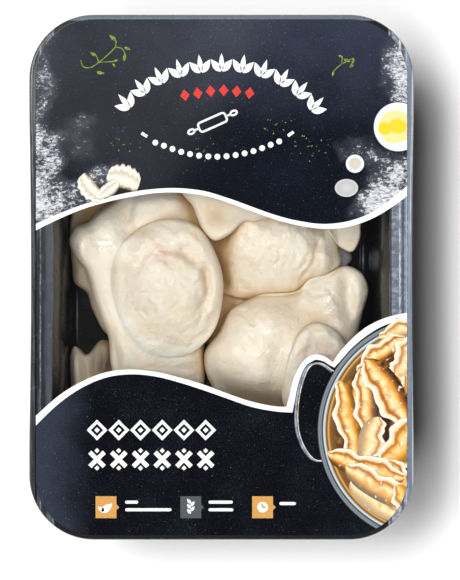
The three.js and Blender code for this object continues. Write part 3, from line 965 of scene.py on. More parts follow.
# painted shade patches: grey of dough in shade, and dark shadow
for patch in ("grey", "deep"):
    tone = graph.between(graph.maths("MINIMUM", graph.attribute(patch), 1.0), tone, dough[patch])
patchy = graph.fade(graph.noise(place, 3.6, 3.0, 0.6), 0.4, 0.6)
wet = graph.maths("MINIMUM", (0.1 + glisten) * patchy + 0.4 * glisten, 1.0)
skinLumps = graph.noise(place, 2.8, 3.0, 0.5)
crinkles = graph.noise(place, 2.2, 3.0, 0.55, (1.0, 1.5, 1.0))
crinkles = graph.maths("ABSOLUTE", crinkles - 0.5)  # ridges of a wet skin
relief = graph.bump(skinLumps + 0.35 * graph.noise(place, 1.0, 2.0, 0.5), 0.45)
relief = graph.bump(crinkles * (0.12 + 0.88 * wet), 1.0, relief)
graph.surface(
    {
        "Base Color": tone,
        "Roughness": 0.5 - 0.25 * wet,
        "Specular IOR Level": 0.4,
        "Subsurface Weight": 0.3,
        "Subsurface Radius": (1.0, 0.6, 0.32),
        "Subsurface Scale": 2.2 * mm,
        "Coat Weight": 0.1 + 0.6 * wet,
        "Coat Roughness": 0.12,
        "Normal": relief,
    }
)

pile = Pile()
laid = []
for seed, (name, sizes) in enumerate(dumplings.items()):
    dumpling = Dumpling(sizes, pile, 10 * seed + 3)
    points, faces = dumpling.skin()
    laid.append((name, points, faces, dumpling.steepness(points)))
    low, top, inside = dumpling.heights(pile.x, pile.y)
    pile.heights = np.where(inside, np.maximum(pile.heights, top), pile.heights)
    pile.rest()

around = pile.blurred(pile.heights, dough["paintedShadeReach"])
wide = pile.blurred(pile.heights, 3 * dough["paintedShadeReach"])
for name, points, faces, steep in laid:
    x, y, z = points.T
    # painted shade from the pile: lower than what lies around, or steep, is more ochre
    hollow = 0.9 * np.clip((pile.at(around, x, y) - z) / 7.0, 0, 1)
    hollow = hollow + 0.5 * np.clip((pile.at(wide, x, y) - z) / 12.0, 0, 1)
    hollow = hollow + 0.3 * np.clip(steep / 2.5, 0, 1)
    pink = np.zeros(len(points))
    # tints add painted shade, and painted light where they are below zero
    for middleX, middleY, reachX, reachY, shadeOchre, blush in dumplings[name].get("tints", []):
        near = np.exp(-(((x - middleX) / reachX) ** 2) - ((y - middleY) / reachY) ** 2)
        hollow = hollow + shadeOchre * near
        pink = pink + blush * near
    values = {"hollow": hollow, "pink": pink}
    for kind in ("wet", "grey", "deep"):
        values[kind] = np.zeros(len(points))
        for middleX, middleY, reachX, reachY, strength in dumplings[name].get(kind, []):
            far = ((x - middleX) / reachX) ** 2 + ((y - middleY) / reachY) ** 2
            values[kind] += strength * np.exp(-far)
    made = addPiece(name + "_dough", points, faces, doughMaterial, "dough", True, values)
    lit["dough"].objects.link(made)
    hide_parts("dumpling_" + name)
print("dumplings ready")

film = {
    "inset": 1.8,
    "low": 45.3,  # the clear film's underside
    "clearTop": 45.5,
    "white": 45.53,  # tops of the printed base and of the dark ends
    "dark": 45.56,
    "halfWidth": 65.9,  # of the printed area
    "halfLength": 91.6,
    "radius": 20.5,
    "gloss": 0.05,  # how much a clear film mirrors straight on
}
printEdge = roundedRect(film["halfWidth"], film["halfLength"], film["radius"])

clearMaterial, graph = newMaterial("clear_film")
ripple = graph.noise(graph.place(), 14.0, 2.0)
rim = graph.node("ShaderNodeLayerWeight", {}, {"Blend": 0.25}, 1)
smear = graph.bump(ripple, 0.05)
sight = graph.node("ShaderNodeBsdfTransparent", {}, {0: (0.98, 0.985, 0.99, 1)})
gloss = graph.node("ShaderNodeBsdfGlossy", {}, {"Roughness": 0.06, "Normal": smear})
mirrored = film["gloss"] * 0.4 + film["gloss"] * ripple + 0.3 * rim
both = graph.node("ShaderNodeMixShader", {}, {0: mirrored, 1: sight, 2: gloss})
graph.node("ShaderNodeOutputMaterial", {}, {"Surface": both})
outline = trayRing(film["inset"], 0)[:, :2]
shape = slabOf(outline, film["low"], film["clearTop"])
clearFilm = addPiece("clear_film", *shape, clearMaterial, "film")
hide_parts("film")


def within(outline, limit=printEdge):  # the part of an outline inside the printed area
    points = [np.array(p, float) for p in outline]
    for start, end in zip(limit, np.roll(limit, -1, 0)):
        along = end - start
        sides = [along[0] * (p - start)[1] - along[1] * (p - start)[0] for p in points]
        kept = []
        for i, (p, side) in enumerate(zip(points, sides)):
            before, sideBefore = points[i - 1], sides[i - 1]
            if (side >= 0) != (sideBefore >= 0):
                kept.append(before + (p - before) * sideBefore / (sideBefore - side))
            if side >= 0:
                kept.append(p)
        points = kept
    clean = [p for p, q in zip(points, points[1:] + points[:1]) if np.hypot(*(p - q)) > 1e-4]
    return np.array(clean)


def oval(middle, radii, turn=0.0, points=48):
    angle = np.linspace(0, 2 * math.pi, points, endpoint=False)
    x, y = radii[0] * np.cos(angle), radii[1] * np.sin(angle)
    c, s = math.cos(math.radians(turn)), math.sin(math.radians(turn))
    return np.column_stack([middle[0] + x * c - y * s, middle[1] + x * s + y * c])


# the printed ends: a white base shows as a line along the window
ends = {
    "headWindow": [
        (-70, 14.2), (-65.9, 16.6), (-57.4, 20.8), (-48.9, 24.3), (-40.3, 26.8), (-31.8, 28.6),
        (-23.3, 29.9), (-14.7, 30), (-6.2, 29), (2.3, 26.5), (19.4, 20.4), (27.9, 18.3),
        (36.4, 17.2), (45, 17.9), (53.5, 20.8), (62, 25.9), (70, 32.2),
    ],
    "headPrint": [
        (-70, 16.9), (-65.9, 19), (-57.4, 22.7), (-48.9, 25.9), (-40.3, 28.4), (-31.8, 30.3),
        (-23.3, 31.4), (-14.7, 31.6), (-6.2, 30.6), (2.3, 28.1), (19.4, 22), (27.9, 19.9),
        (36.4, 18.9), (45, 19.9), (53.5, 23.1), (62, 29.1), (70, 36.2),
    ],
    "footWindow": [
        (-70, -53.2), (-65.9, -49.2), (-57.4, -41.8), (-48.9, -36.7), (-40.3, -33.6),
        (-31.8, -32.8), (-23.3, -33.7), (-14.7, -35.7), (-6.2, -38.2), (2.3, -41.4),
        (10.8, -44.2), (19.4, -45.9), (23.1, -46),
    ],
    "footPrint": [
        (-70, -57.6), (-65.9, -52.7), (-57.4, -44.6), (-48.9, -38.9), (-40.3, -35.5),
        (-31.8, -34.5), (-23.3, -35.3), (-14.7, -37.5), (-6.2, -40.2), (2.3, -43.2),
        (10.8, -46.1), (19.4, -47.7), (25.2, -48.1),
    ],
    "handleWindow": [
        (23.1, -46), (24.2, -41.9), (25.6, -36.2), (27.8, -31.6), (30.4, -28.6), (33.6, -27.5),
        (36.8, -28.3), (39.6, -30.3),
    ],
    "handlePrint": [
        (25.2, -48.1), (25.9, -44.7), (27.4, -38), (29.6, -33), (31.6, -30.4), (33.7, -29.3),
        (36.6, -30.3), (40.1, -32.1),
    ],
    "panWindow": [
        (39.6, -30.3), (41.3, -27.6), (45.7, -22.5), (51.3, -17.8), (57.8, -14.6), (65.9, -12.6),
        (70, -12.2),
    ],
    "panPrint": [
        (40.1, -32.1), (41.5, -30.6), (45.8, -25.7), (51.4, -20.9), (57.9, -17.1),
        (65.9, -14.9), (70, -14.4),
    ],
    "white": shade(253, 253, 252),
    "head": shade(14, 17, 26),
    "headLight": shade(48, 53, 68),
    "foot": shade(10, 11, 15),
    "footLight": shade(46, 52, 64),
    "grain": shade(74, 82, 104),
    "star": shade(140, 150, 176),
    "dust": shade(222, 223, 227),
    "dustShade": shade(112, 114, 122),
    "haze": shade(92, 95, 106),
    "sweep": 0.7,  # how the flour's streaks are turned
}


def edgeLine(*names):
    return np.vstack([throughPoints(ends[name], 8) for name in names])


def headOutline(line):
    return within([*line, (90, 110), (-90, 110)])


def footOutline(line):
    return within([(-90, -110), (90, -110), *line[::-1]])


whiteInk, graph = newMaterial("white_ink")
fleck = graph.noise(graph.place(), 0.6, 2.0)
tone = graph.between(fleck, ends["white"], shade(246, 246, 246))
graph.surface({"Base Color": tone, "Roughness": 0.3, "Specular IOR Level": 0.3})
windowEdges = [
    headOutline(edgeLine("headWindow")),
    footOutline(edgeLine("footWindow", "handleWindow", "panWindow")),
]
base = joined([slabOf(line, film["clearTop"], film["white"]) for line in windowEdges])
addPiece("print_white_base", *base, whiteInk, "film")


def darkInk(name, plain, light, amount, flour):
    material, graph = newMaterial(name)
    place = graph.place()
    x, y, _ = graph.axes(place)
    clouds = graph.noise(place, 14.0, 4.0, 0.62)
    blue = amount(graph, x, y) + 0.7 * clouds - 0.42
    tone = graph.between(graph.fade(blue, 0.0, 1.0), plain, light)
    grain = graph.fade(graph.noise(place, 0.5, 3.0, 0.7), 0.42, 0.72)
    tone = graph.between(0.35 * grain * graph.fade(blue, -0.4, 0.9), tone, ends["grain"])
    stars = graph.fade(graph.noise(place, 0.6, 1.0, 0.5), 0.72, 0.77)
    tone = graph.between(0.45 * stars, tone, ends["star"])
    if flour:
        heap = 0.0
        x = x + 16.0 * (graph.noise(place, 11.0, 3.0) - 0.5)
        y = y + 16.0 * (graph.noise(place, 13.0, 3.0) - 0.5)
        for middle, radii, strength in flour:
            heap = heap + strength * graph.spot(x, y, middle, radii)
        heap = heap * (2.6 * graph.noise(place, 8.0, 4.0, 0.6) - 0.35)
        swept = {"Vector": place, "Rotation": (0, 0, ends["sweep"]), "Scale": (1, 2.4, 1)}
        swept = graph.node("ShaderNodeMapping", {}, swept)
        crumbs = 0.5 * graph.noise(swept, 2.2, 7.0, 0.75) + 0.5 * graph.noise(place, 1.2, 5.0, 0.75)
        dust = graph.fade(crumbs + 0.22 * heap, 0.66, 0.78) * graph.fade(heap, 0.02, 0.3)
        tone = graph.between(0.5 * graph.fade(heap, 0.1, 0.9), tone, ends["haze"])
        shadowed = graph.fade(graph.noise(swept, 1.5, 5.0, 0.7), 0.38, 0.56)
        tone = graph.between(dust, tone, graph.between(shadowed, ends["dustShade"], ends["dust"]))
    graph.surface({"Base Color": tone, "Roughness": 0.11, "Specular IOR Level": 0.3})
    return material


# where flour lies on the print: middle, radii and how thick
flour = [
    [(-65, 40), (11, 24), 1.25],
    [(-50, 50), (11, 9), 0.55],
    [(-57, 27), (18, 11), 0.7],
    [(-43, 36), (11, 7), 0.7],
    [(-64, 74), (8, 20), 0.72],
    [(65, 71), (11, 20), 1.2],
    [(63, 31), (16, 17), 1.3],
    [(49, 44), (11, 8), 0.55],
    [(52, 25), (12, 8), 0.7],
]


def headBlue(graph, x, y):  # bluer towards the head end and the sides
    across = ((x - 8.0) / 62.0) ** 2.0
    down = graph.fade(y, 34.0, 96.0)
    return 0.06 + down * (0.78 - 0.5 * graph.fade(x, 10.0, -40.0)) + 0.1 * across


def footBlue(graph, x, y):
    return graph.fade(x, -40.0, -70.0) + 0.12


headInk = darkInk("head_ink", ends["head"], ends["headLight"], headBlue, flour)
footInk = darkInk("foot_ink", ends["foot"], ends["footLight"], footBlue, [])
headLine = headOutline(edgeLine("headPrint"))
footLine = footOutline(edgeLine("footPrint", "handlePrint", "panPrint"))
addPiece("print_head", *slabOf(headLine, film["white"], film["dark"]), headInk, "film")
addPiece("print_foot", *slabOf(footLine, film["white"], film["dark"]), footInk, "film")
print("film ready")


def newTree(name, sockets):
    tree = bpy.data.node_groups.new(name, "GeometryNodeTree")
    tree.interface.new_socket("Geometry", in_out="OUTPUT", socket_type="NodeSocketGeometry")
    tree.interface.new_socket("Path", in_out="INPUT", socket_type="NodeSocketGeometry")
    for label, kind in sockets.items():
        tree.interface.new_socket(label, in_out="INPUT", socket_type="NodeSocket" + kind)
    tree.interface.new_socket("Material", in_out="INPUT", socket_type="NodeSocketMaterial")
    graph = Graph(tree)
    return tree, graph, graph.outputsOf("NodeGroupInput")


def endTree(graph, shapes, material):
    real = graph.node("GeometryNodeRealizeInstances", {}, {0: shapes})
    shown = graph.node("GeometryNodeSetMaterial", {}, {0: real, "Material": material})
    graph.node("NodeGroupOutput", {}, {0: shown})


def turnAboutZ(graph, angle):
    values = {"Axis": (0, 0, 1), "Angle": angle}
    return graph.node("FunctionNodeAxisAngleToRotation", {}, values)


def copiesAt(graph, points, motif, rotation, scale):
    shape = graph.outputsOf("GeometryNodeObjectInfo", {"Object": motif})["Geometry"]
    values = {"Points": points, "Instance": shape, "Rotation": rotation, "Scale": scale}
    return graph.node("GeometryNodeInstanceOnPoints", {}, values)


# lays a copy of a motif at even steps along a line, turned to follow it
sockets = {"Motif": "Object", "Count": "Int", "Size": "Float", "Turn": "Float"}
rowTree, graph, given = newTree("motif_row", sockets)
curve = graph.node("GeometryNodeMeshToCurve", {}, {0: given["Path"]})
steps = graph.node("GeometryNodeResampleCurve", {}, {"Curve": curve, "Count": given["Count"]})
tangent = graph.node("GeometryNodeInputTangent")
turn = graph.node("FunctionNodeAlignRotationToVector", {"axis": "X"}, {"Vector": tangent})
more = turnAboutZ(graph, given["Turn"])
turn = graph.node("FunctionNodeRotateRotation", {"rotation_space": "LOCAL"}, {0: turn, 1: more})
endTree(graph, copiesAt(graph, steps, given["Motif"], turn, given["Size"]), given["Material"])

# a flat line of even width along a path
lineTree, graph, given = newTree("printed_line", {"Width": "Float", "Thickness": "Float"})
curve = graph.node("GeometryNodeMeshToCurve", {}, {0: given["Path"]})
curve = graph.node("GeometryNodeSetCurveNormal", {"mode": "Z_UP"}, {0: curve})
values = {"Width": given["Width"], "Height": given["Thickness"]}
section = graph.node("GeometryNodeCurvePrimitiveQuadrilateral", {}, values)
values = {"Curve": curve, "Profile Curve": section, "Fill Caps": True}
endTree(graph, graph.node("GeometryNodeCurveToMesh", {}, values), given["Material"])

# strews small flecks over a surface
sockets = {"Motif": "Object", "Density": "Float", "Size": "Float", "Seed": "Int"}
strewTree, graph, given = newTree("strewn_flecks", sockets)
values = {"Mesh": given["Path"], "Density": given["Density"], "Seed": given["Seed"]}
strewn = graph.outputsOf("GeometryNodeDistributePointsOnFaces", values)["Points"]
settings = {"data_type": "FLOAT"}
values = {2: 0.0, 3: 2 * math.pi, "Seed": given["Seed"]}
turn = turnAboutZ(graph, graph.node("FunctionNodeRandomValue", settings, values, 1))
values = {2: 0.4, 3: 1.0, "Seed": given["Seed"]}
size = graph.node("FunctionNodeRandomValue", settings, values, 1) * given["Size"]
endTree(graph, copiesAt(graph, strewn, given["Motif"], turn, size), given["Material"])

art = {
    "layer": 0.02,  # thickness of each printed layer
    "leaf": (5.6, 2.5),  # length and width
    "middleLeaf": (6.4, 1.9),
    "garland": [
        (-34, 62), (-25, 69.5), (-12.5, 74.2), (0, 75.6), (12.5, 74.2), (25, 68.6), (33.5, 61),
    ],
    "garlandCount": 11,
    "lozenge": (1.7, 2.1),
    "lozengeLine": [(-13, 64.6), (0, 66.4), (10, 65.4)],
    "lozengeCount": 6,
    "pin": ((-3.2, 55.0), 24),  # the rolling pin's middle and turn
    "pinBody": (5.2, 1.7),
    "bead": 1.05,
    "beadLine": [(-23.5, 47.8), (-12, 43.9), (-1, 42.8), (10, 44.4), (20.5, 48.2)],
    "beadCount": 15,
    "dashes": [[(-28.4, 51.2), (-26.4, 49.9)], [(23.6, 50.2), (25.6, 51.6)]],
    "stitchEnds": (-44.2, -5.6),
    "stitchRows": (-54.3, -64.7),
    "stitchCount": 6,
    # the small squares: middle, ink, where the bars beside each start, and their lengths
    "squares": [
        ((-41.0, -81.7), "amber", (-34.2, -79.9), (4.6, 16.4)),
        ((-10.9, -81.7), "slate", (-4.6, -79.9), (8.6, 8.8)),
        ((14.6, -81.7), "amber", (20.6, -80.4), (5.8,)),
    ],
    "chalk": shade(250, 250, 249),
    "chalkWorn": shade(120, 124, 134),
    "whiteWorn": shade(240, 240, 240),
    "red": shade(236, 62, 48),
    "redWorn": shade(200, 44, 38),
    "amber": shade(216, 161, 82),
    "amberWorn": shade(204, 148, 72),
    "slate": shade(82, 90, 92),
    "slateWorn": shade(74, 82, 84),
    "leafGreen": shade(150, 176, 44),
    "leafDark": shade(84, 104, 30),
}
firstLayer = film["dark"]
secondLayer = firstLayer + art["layer"]
thirdLayer = secondLayer + art["layer"]


def pathMesh(points, z, closed=False):
    count = len(points)
    edges = [(i, i + 1) for i in range(count - 1)] + [(count - 1, 0)] * closed
    return meshOf("path", [(x, y, z) for x, y in points], [], edges)


def grown(tree, meshes, values):  # what a tree makes of each path, as plain meshes
    made = []
    for mesh in meshes:
        source = bpy.data.objects.new("path", mesh)
        scene.collection.objects.link(source)
        modifier = source.modifiers.new("grow", "NODES")
        modifier.node_group = tree
        for item in tree.interface.items_tree:
            if item.in_out == "INPUT" and item.name in values:
                modifier[item.identifier] = values[item.name]
        depsgraph = bpy.context.evaluated_depsgraph_get()
        evaluated = source.evaluated_get(depsgraph)
        made.append(bpy.data.meshes.new_from_object(evaluated, depsgraph=depsgraph))
        bpy.data.objects.remove(source)
    if "Motif" in values:
        bpy.data.objects.remove(values["Motif"])
    return made


def motifRow(motif, count, line, ink):
    values = {"Motif": motif, "Count": count, "Size": 1.0, "Turn": 0.0, "Material": ink}
    return grown(rowTree, [pathMesh(line, firstLayer)], values)


def inkLines(meshes, width, ink):
    values = {"Width": width * mm, "Thickness": art["layer"] * mm, "Material": ink}
    return grown(lineTree, meshes, values)


def gather(name, meshes, material):  # several meshes as one piece
    points = []
    faces = []
    for mesh in meshes:
        start = len(points)
        points += [v.co / mm for v in mesh.vertices]
        faces += [tuple(start + i for i in p.vertices) for p in mesh.polygons]
    return addPiece(name, points, faces, material, "film")


def motifOf(name, outlines, lift=0.0):  # the last plate may stand proud of the others
    shapes = [slabOf(outline, 0, art["layer"]) for outline in outlines[:-1]]
    shapes.append(slabOf(outlines[-1], 0, art["layer"] * (1 + lift)))
    return bpy.data.objects.new(name, meshOf(name, *joined(shapes)))


def plainInk(name, colour, second, size=0.5, wear=(0.4, 0.62)):
    material, graph = newMaterial(name)
    fleck = graph.fade(graph.noise(graph.place(), size, 4.0, 0.7), *wear)
    tone = graph.between(fleck, second, colour)
    graph.surface({"Base Color": tone, "Roughness": 0.3, "Specular IOR Level": 0.3})
    return material


def turned(outline, angle, shift=(0, 0)):
    c, s = math.cos(math.radians(angle)), math.sin(math.radians(angle))
    x, y = np.asarray(outline, float).T
    return np.column_stack([shift[0] + x * c - y * s, shift[1] + x * s + y * c])


def leafAt(length, width, angle=0.0, stalk=(0, 0), steps=9):
    t = np.linspace(0, 1, steps)
    half = width / 2 * np.sin(math.pi * t**0.8)
    there = np.column_stack([length * t, -half])
    back = np.column_stack([length * t, half])[1:-1][::-1]
    return turned(np.vstack([there, back]), angle, stalk)


def diamond(width, height, middle=(0, 0)):
    x, y = middle
    return [(x + width, y), (x, y + height), (x - width, y), (x, y - height)]


chalk = plainInk("chalk_ink", art["chalk"], art["chalkWorn"], 0.9, (0.3, 0.42))
cleanWhite = plainInk("clean_white_ink", art["chalk"], art["whiteWorn"])
inks = {}
for name in ("red", "amber", "slate"):
    inks[name] = plainInk(name + "_ink", art[name], art[name + "Worn"])
green = plainInk("herb_green", art["leafGreen"], art["leafDark"], 0.8)

# the head's ornament: a garland of leaves over a row of red lozenges
triple = [
    leafAt(*art["leaf"], 52, (0.35, -2.6)),
    leafAt(*art["leaf"], 128, (-0.35, -2.6)),
    leafAt(*art["middleLeaf"], 90, (0, -2.4)),
]
line = throughPoints(art["garland"], 8)
leaves = motifRow(motifOf("garland_motif", triple), art["garlandCount"], line, chalk)
gather("head_garland", leaves, chalk)
lozenge = motifOf("lozenge_motif", [diamond(*art["lozenge"])])
line = throughPoints(art["lozengeLine"], 6)
lozenges = motifRow(lozenge, art["lozengeCount"], line, inks["red"])
gather("head_lozenges", lozenges, inks["red"])

# a rolling pin drawn in outline, over a string of beads between two dashes
middle, turn = art["pin"]
halfLength, halfWidth = art["pinBody"]
body = roundedRect(halfLength, halfWidth, 1.0, 4, 2)
pinLines = [pathMesh(turned(body, turn, middle), firstLayer + 0.01, True)]
for way in (1, -1):
    grip = [(halfLength * way, 0), ((halfLength + 1.8) * way, 0)]
    knob = oval(((halfLength + 3) * way, 0), (1.2, 0.75), 0, 16)
    pinLines.append(pathMesh(turned(grip, turn, middle), firstLayer + 0.01))
    pinLines.append(pathMesh(turned(knob, turn, middle), firstLayer + 0.01, True))
gather("head_rolling_pin", inkLines(pinLines, 0.75, cleanWhite), cleanWhite)
bead = motifOf("bead_motif", [oval((0, 0), (art["bead"], art["bead"]), 0, 14)])
line = throughPoints(art["beadLine"], 8)
beads = motifRow(bead, art["beadCount"], line, cleanWhite)
dashes = [pathMesh(dash, firstLayer + 0.01) for dash in art["dashes"]]
gather("head_beads", beads + inkLines(dashes, 1.1, cleanWhite), cleanWhite)

# two rows of cross-stitch: open lozenges, and crosses with a dot above and below
outer, inner = diamond(3.7, 3.7), diamond(2.2, 2.2)
sides = [[outer[i - 1], outer[i], inner[i], inner[i - 1]] for i in range(4)]
openMotif = motifOf("open_lozenge_motif", [*sides, diamond(1, 1)])
bar = [(-0.8, -3.6), (0.8, -3.6), (0.8, 3.6), (-0.8, 3.6)]
dots = [diamond(0.9, 0.9, (0, y)) for y in (3.1, -3.1)]
crossMotif = motifOf("cross_motif", [turned(bar, 45), *dots, turned(bar, -45)], 0.1)
stitches = []
for motif, y in zip((openMotif, crossMotif), art["stitchRows"]):
    line = [(x, y) for x in art["stitchEnds"]]
    stitches += motifRow(motif, art["stitchCount"], line, chalk)
gather("foot_stitching", stitches, chalk)

# three small squares with plain pictograms, and bars beside them
square = [(-3.7, -3.9), (3.7, -3.9), (3.7, -1), (4.7, 0), (3.7, 1), (3.7, 3.9), (-3.7, 3.9)]
for ink in ("amber", "slate"):
    outlines = [np.add(square, row[0]) for row in art["squares"] if row[1] == ink]
    shapes = [slabOf(outline, firstLayer, secondLayer) for outline in outlines]
    addPiece("foot_squares_" + ink, *joined(shapes), inks[ink], "film")
leafX, earX, clockX = [row[0][0] for row in art["squares"]]
signs = [leafAt(5.0, 2.6, 40, (leafX - 1.6, -83.6)), leafAt(2.8, 1.6, 150, (leafX - 0.6, -83.0))]
signs += [leafAt(2.2, 1.1, 90 + 38 * (-1) ** i, (earX, -84.0 + 0.9 * i)) for i in range(5)]
signs.append(oval((clockX, -81.7), (1.9, 1.9), 0, 28))
shapes = [slabOf(outline, secondLayer, thirdLayer) for outline in signs]
for _, _, (x, y), lengths in art["squares"]:
    for i, length in enumerate(lengths):
        bar = roundedRect(length / 2, 0.55, 0.5, 3, 1)
        bar = np.add(bar, (x + length / 2, y - 2.7 * i))
        shapes.append(slabOf(bar, firstLayer, secondLayer))
addPiece("foot_signs", *joined(shapes), cleanWhite, "film")
hands = [
    [(-0.35, 0), (0.25, 0), (0.25, 1.3), (-0.35, 1.3)],
    [(0, -0.3), (1.1, -0.3), (1.1, 0.3), (0, 0.3)],
]
hands = [np.add(hand, (clockX, -81.7)) for hand in hands]
shapes = [slabOf(hand, thirdLayer, thirdLayer + 0.01) for hand in hands]
addPiece("foot_clock_hands", *joined(shapes), inks["amber"], "film")
print("ornament ready")

# pictures of food on the print, as fields of colour
food = {
    "step": 0.0026,  # between pictures that overlap
    "pan": (74.1, -54.3),
    "panRadius": 40.0,
    "panInside": 35.2,
    "dish": (62.8, 53.4),
    "cup": (47.4, 40.3),
    "egg": (44.4, 31.7),
    "gloss": {"Roughness": 0.28, "Specular IOR Level": 0.3},
    "flecks": {"Density": 150000.0, "Size": 1.0, "Seed": 5},
}


def insidePrint(points):  # points past the printed area are drawn back to its edge
    inner = np.array([film["halfWidth"], film["halfLength"]]) - film["radius"]
    near = np.clip(points, -inner, inner)
    away = points - near
    far = np.linalg.norm(away, axis=-1, keepdims=True)
    reach = film["radius"] + 1e-4 * np.maximum(far - film["radius"], 0)
    return np.where(far > film["radius"], near + away / np.maximum(far, 1e-6) * reach, points)


# a dumpling seen flat: a waved edge on one side, a full belly on the other
def halfMoon(middle, turn, length, rise, belly, bend, waves, taper, z, steps=(56, 9)):
    t = np.linspace(0.004, 0.996, steps[0])[:, None]
    u = np.linspace(0, 1, steps[1])[None, :]
    across = np.sin(math.pi * t) ** taper
    ripple = 1 + waves[1] * np.sin(2 * math.pi * waves[0] * t + 7 * middle[0])
    ripple = ripple + waves[1] * 0.4 * np.sin(2 * math.pi * 2.3 * waves[0] * t + 5 * middle[1])
    x = length / 2 * -np.cos(math.pi * t) + 0 * u
    y = across * ((1 - u) * rise * ripple - u * belly)
    y = y + bend * (1 - (2 * x / length) ** 2)
    flat = insidePrint(turned(np.stack([x, y], -1).reshape(-1, 2), turn, middle))
    count = len(flat)
    points = [(x, y, level) for level in (z + food["step"], z - 0.02) for x, y in flat]
    faces = []
    rows, columns = steps
    for i in range(rows - 1):
        for j in range(columns - 1):
            a = i * columns + j
            b, c, d = a + columns, a + columns + 1, a + 1
            faces += [(a, d, c, b), (a + count, b + count, c + count, d + count)]
    rim = [i * columns for i in range(rows)]
    rim += [(rows - 1) * columns + j for j in range(1, columns)]
    rim += [i * columns + columns - 1 for i in range(rows - 2, -1, -1)]
    rim += range(columns - 2, 0, -1)
    for a, b in zip(rim, rim[1:] + rim[:1]):
        faces.append((a, b, b + count, a + count))
    along = np.tile((t + 0 * u).ravel(), 2)
    over = np.tile((0 * t + u).ravel(), 2)
    return points, faces, along, over


def moons(name, rows, material):
    shapes = [halfMoon(*row) for row in rows]
    points, faces = joined([shape[:2] for shape in shapes])
    values = {"along": np.concatenate([s[2] for s in shapes])}
    values["across"] = np.concatenate([s[3] for s in shapes])
    values["kind"] = np.concatenate([0 * s[2] + i * 0.618 % 1 for i, s in enumerate(shapes)])
    return addPiece(name, points, faces, material, "film", False, values)


def ramp(graph, rows, value, reach=1.0):  # rows of how far, and the colour there
    stops = [(far / reach, shade(*tone)) for far, tone in rows]
    return graph.node("ShaderNodeValToRGB", {"stops": stops}, {0: value})


def roundPicture(name, outline, middle, radii, rows, reach=1.0, extra=None):
    material, graph = newMaterial(name + "_ink")
    place = graph.place()
    x, y, _ = graph.axes(place)
    far = ((x - middle[0]) / radii[0]) ** 2.0 + ((y - middle[1]) / radii[1]) ** 2.0
    tone = ramp(graph, rows, far**0.5, reach)
    if extra:
        tone = extra(graph, place, x, y, tone)
    graph.surface({"Base Color": tone, **food["gloss"]})
    return addPiece(name, *slabOf(outline, firstLayer, secondLayer), material, "film")


def panFood(graph, place, x, y, tone):
    oil = graph.fade(graph.noise(place, 5.0, 3.0, 0.6), 0.5, 0.72)
    inside = graph.spot(x, y, food["pan"], (food["panInside"], food["panInside"]))
    oil = oil * graph.fade(inside, 0.0, 0.02)
    return graph.between(oil * 0.6, tone, shade(182, 128, 50))


panRows = [  # distance from the middle, and the colour there
    (26.0, (54, 30, 12)), (33.0, (92, 56, 22)), (35.6, (126, 90, 38)), (35.9, (206, 146, 60)),
    (36.3, (214, 152, 64)), (36.6, (90, 66, 34)), (37.0, (120, 100, 66)), (37.3, (176, 170, 150)),
    (37.6, (206, 216, 220)), (37.9, (190, 202, 208)), (38.1, (52, 62, 72)), (38.5, (60, 70, 80)),
    (38.8, (138, 147, 154)), (39.1, (96, 104, 112)), (39.5, (144, 151, 157)), (39.7, (92, 98, 104)),
    (40.0, (30, 32, 38)),
]
radii = (food["panRadius"], food["panRadius"])
outline = within(oval(food["pan"], radii, 0, 120))
roundPicture("pan_picture", outline, food["pan"], radii, panRows, food["panRadius"], panFood)

friedInk, graph = newMaterial("fried_dough_ink")
place = graph.place()
mottle = graph.noise(place, 1.7, 4.0, 0.65)
along, across = graph.attribute("along"), graph.attribute("across")
friedRows = [
    (0.0, (124, 70, 30)), (0.03, (252, 244, 230)), (0.1, (248, 230, 200)),
    (0.19, (240, 206, 156)), (0.24, (190, 116, 40)), (0.3, (172, 94, 24)),
    (0.36, (232, 176, 86)), (0.45, (249, 224, 174)), (0.6, (245, 206, 132)),
    (0.7, (222, 150, 44)), (0.8, (156, 84, 16)), (0.89, (78, 40, 8)), (0.96, (40, 24, 8)),
    (1.0, (26, 16, 6)),
]
base = ramp(graph, friedRows, across + 0.08 * mottle - 0.04)
kind = graph.attribute("kind")
body = graph.fade(across, 0.2, 0.36)
pleats = graph.maths("SINE", 44.0 * along + 5.0 * mottle + 6.0 * kind)
pleats = graph.fade(pleats, 0.5, 1.0) * graph.fade(across, 0.16, 0.26)
pleats = pleats * (1.0 - graph.fade(across, 0.3, 0.66))
tone = graph.between(0.7 * pleats, base, shade(168, 88, 24))
tone = graph.between(graph.fade(kind, 0.55, 0.95) * body * 0.5, tone, shade(238, 174, 40))
tone = graph.between(graph.fade(kind, 0.4, 0.1) * body * 0.45, tone, shade(250, 230, 190))
toasted = graph.fade(graph.noise(place, 4.0, 3.0, 0.5), 0.52, 0.66) * body
tone = graph.between(0.5 * toasted, tone, shade(222, 146, 28))
shiny = graph.fade(graph.noise(place, 2.4, 2.0, 0.5), 0.62, 0.72) * graph.fade(across, 0.1, 0.4)
tone = graph.between(0.7 * shiny, tone, shade(255, 248, 234))
tips = graph.maths("ABSOLUTE", along - 0.5)
tone = graph.between(graph.fade(tips, 0.42, 0.5) * 0.5, tone, shade(250, 226, 190))
graph.surface({"Base Color": tone, **food["gloss"]})
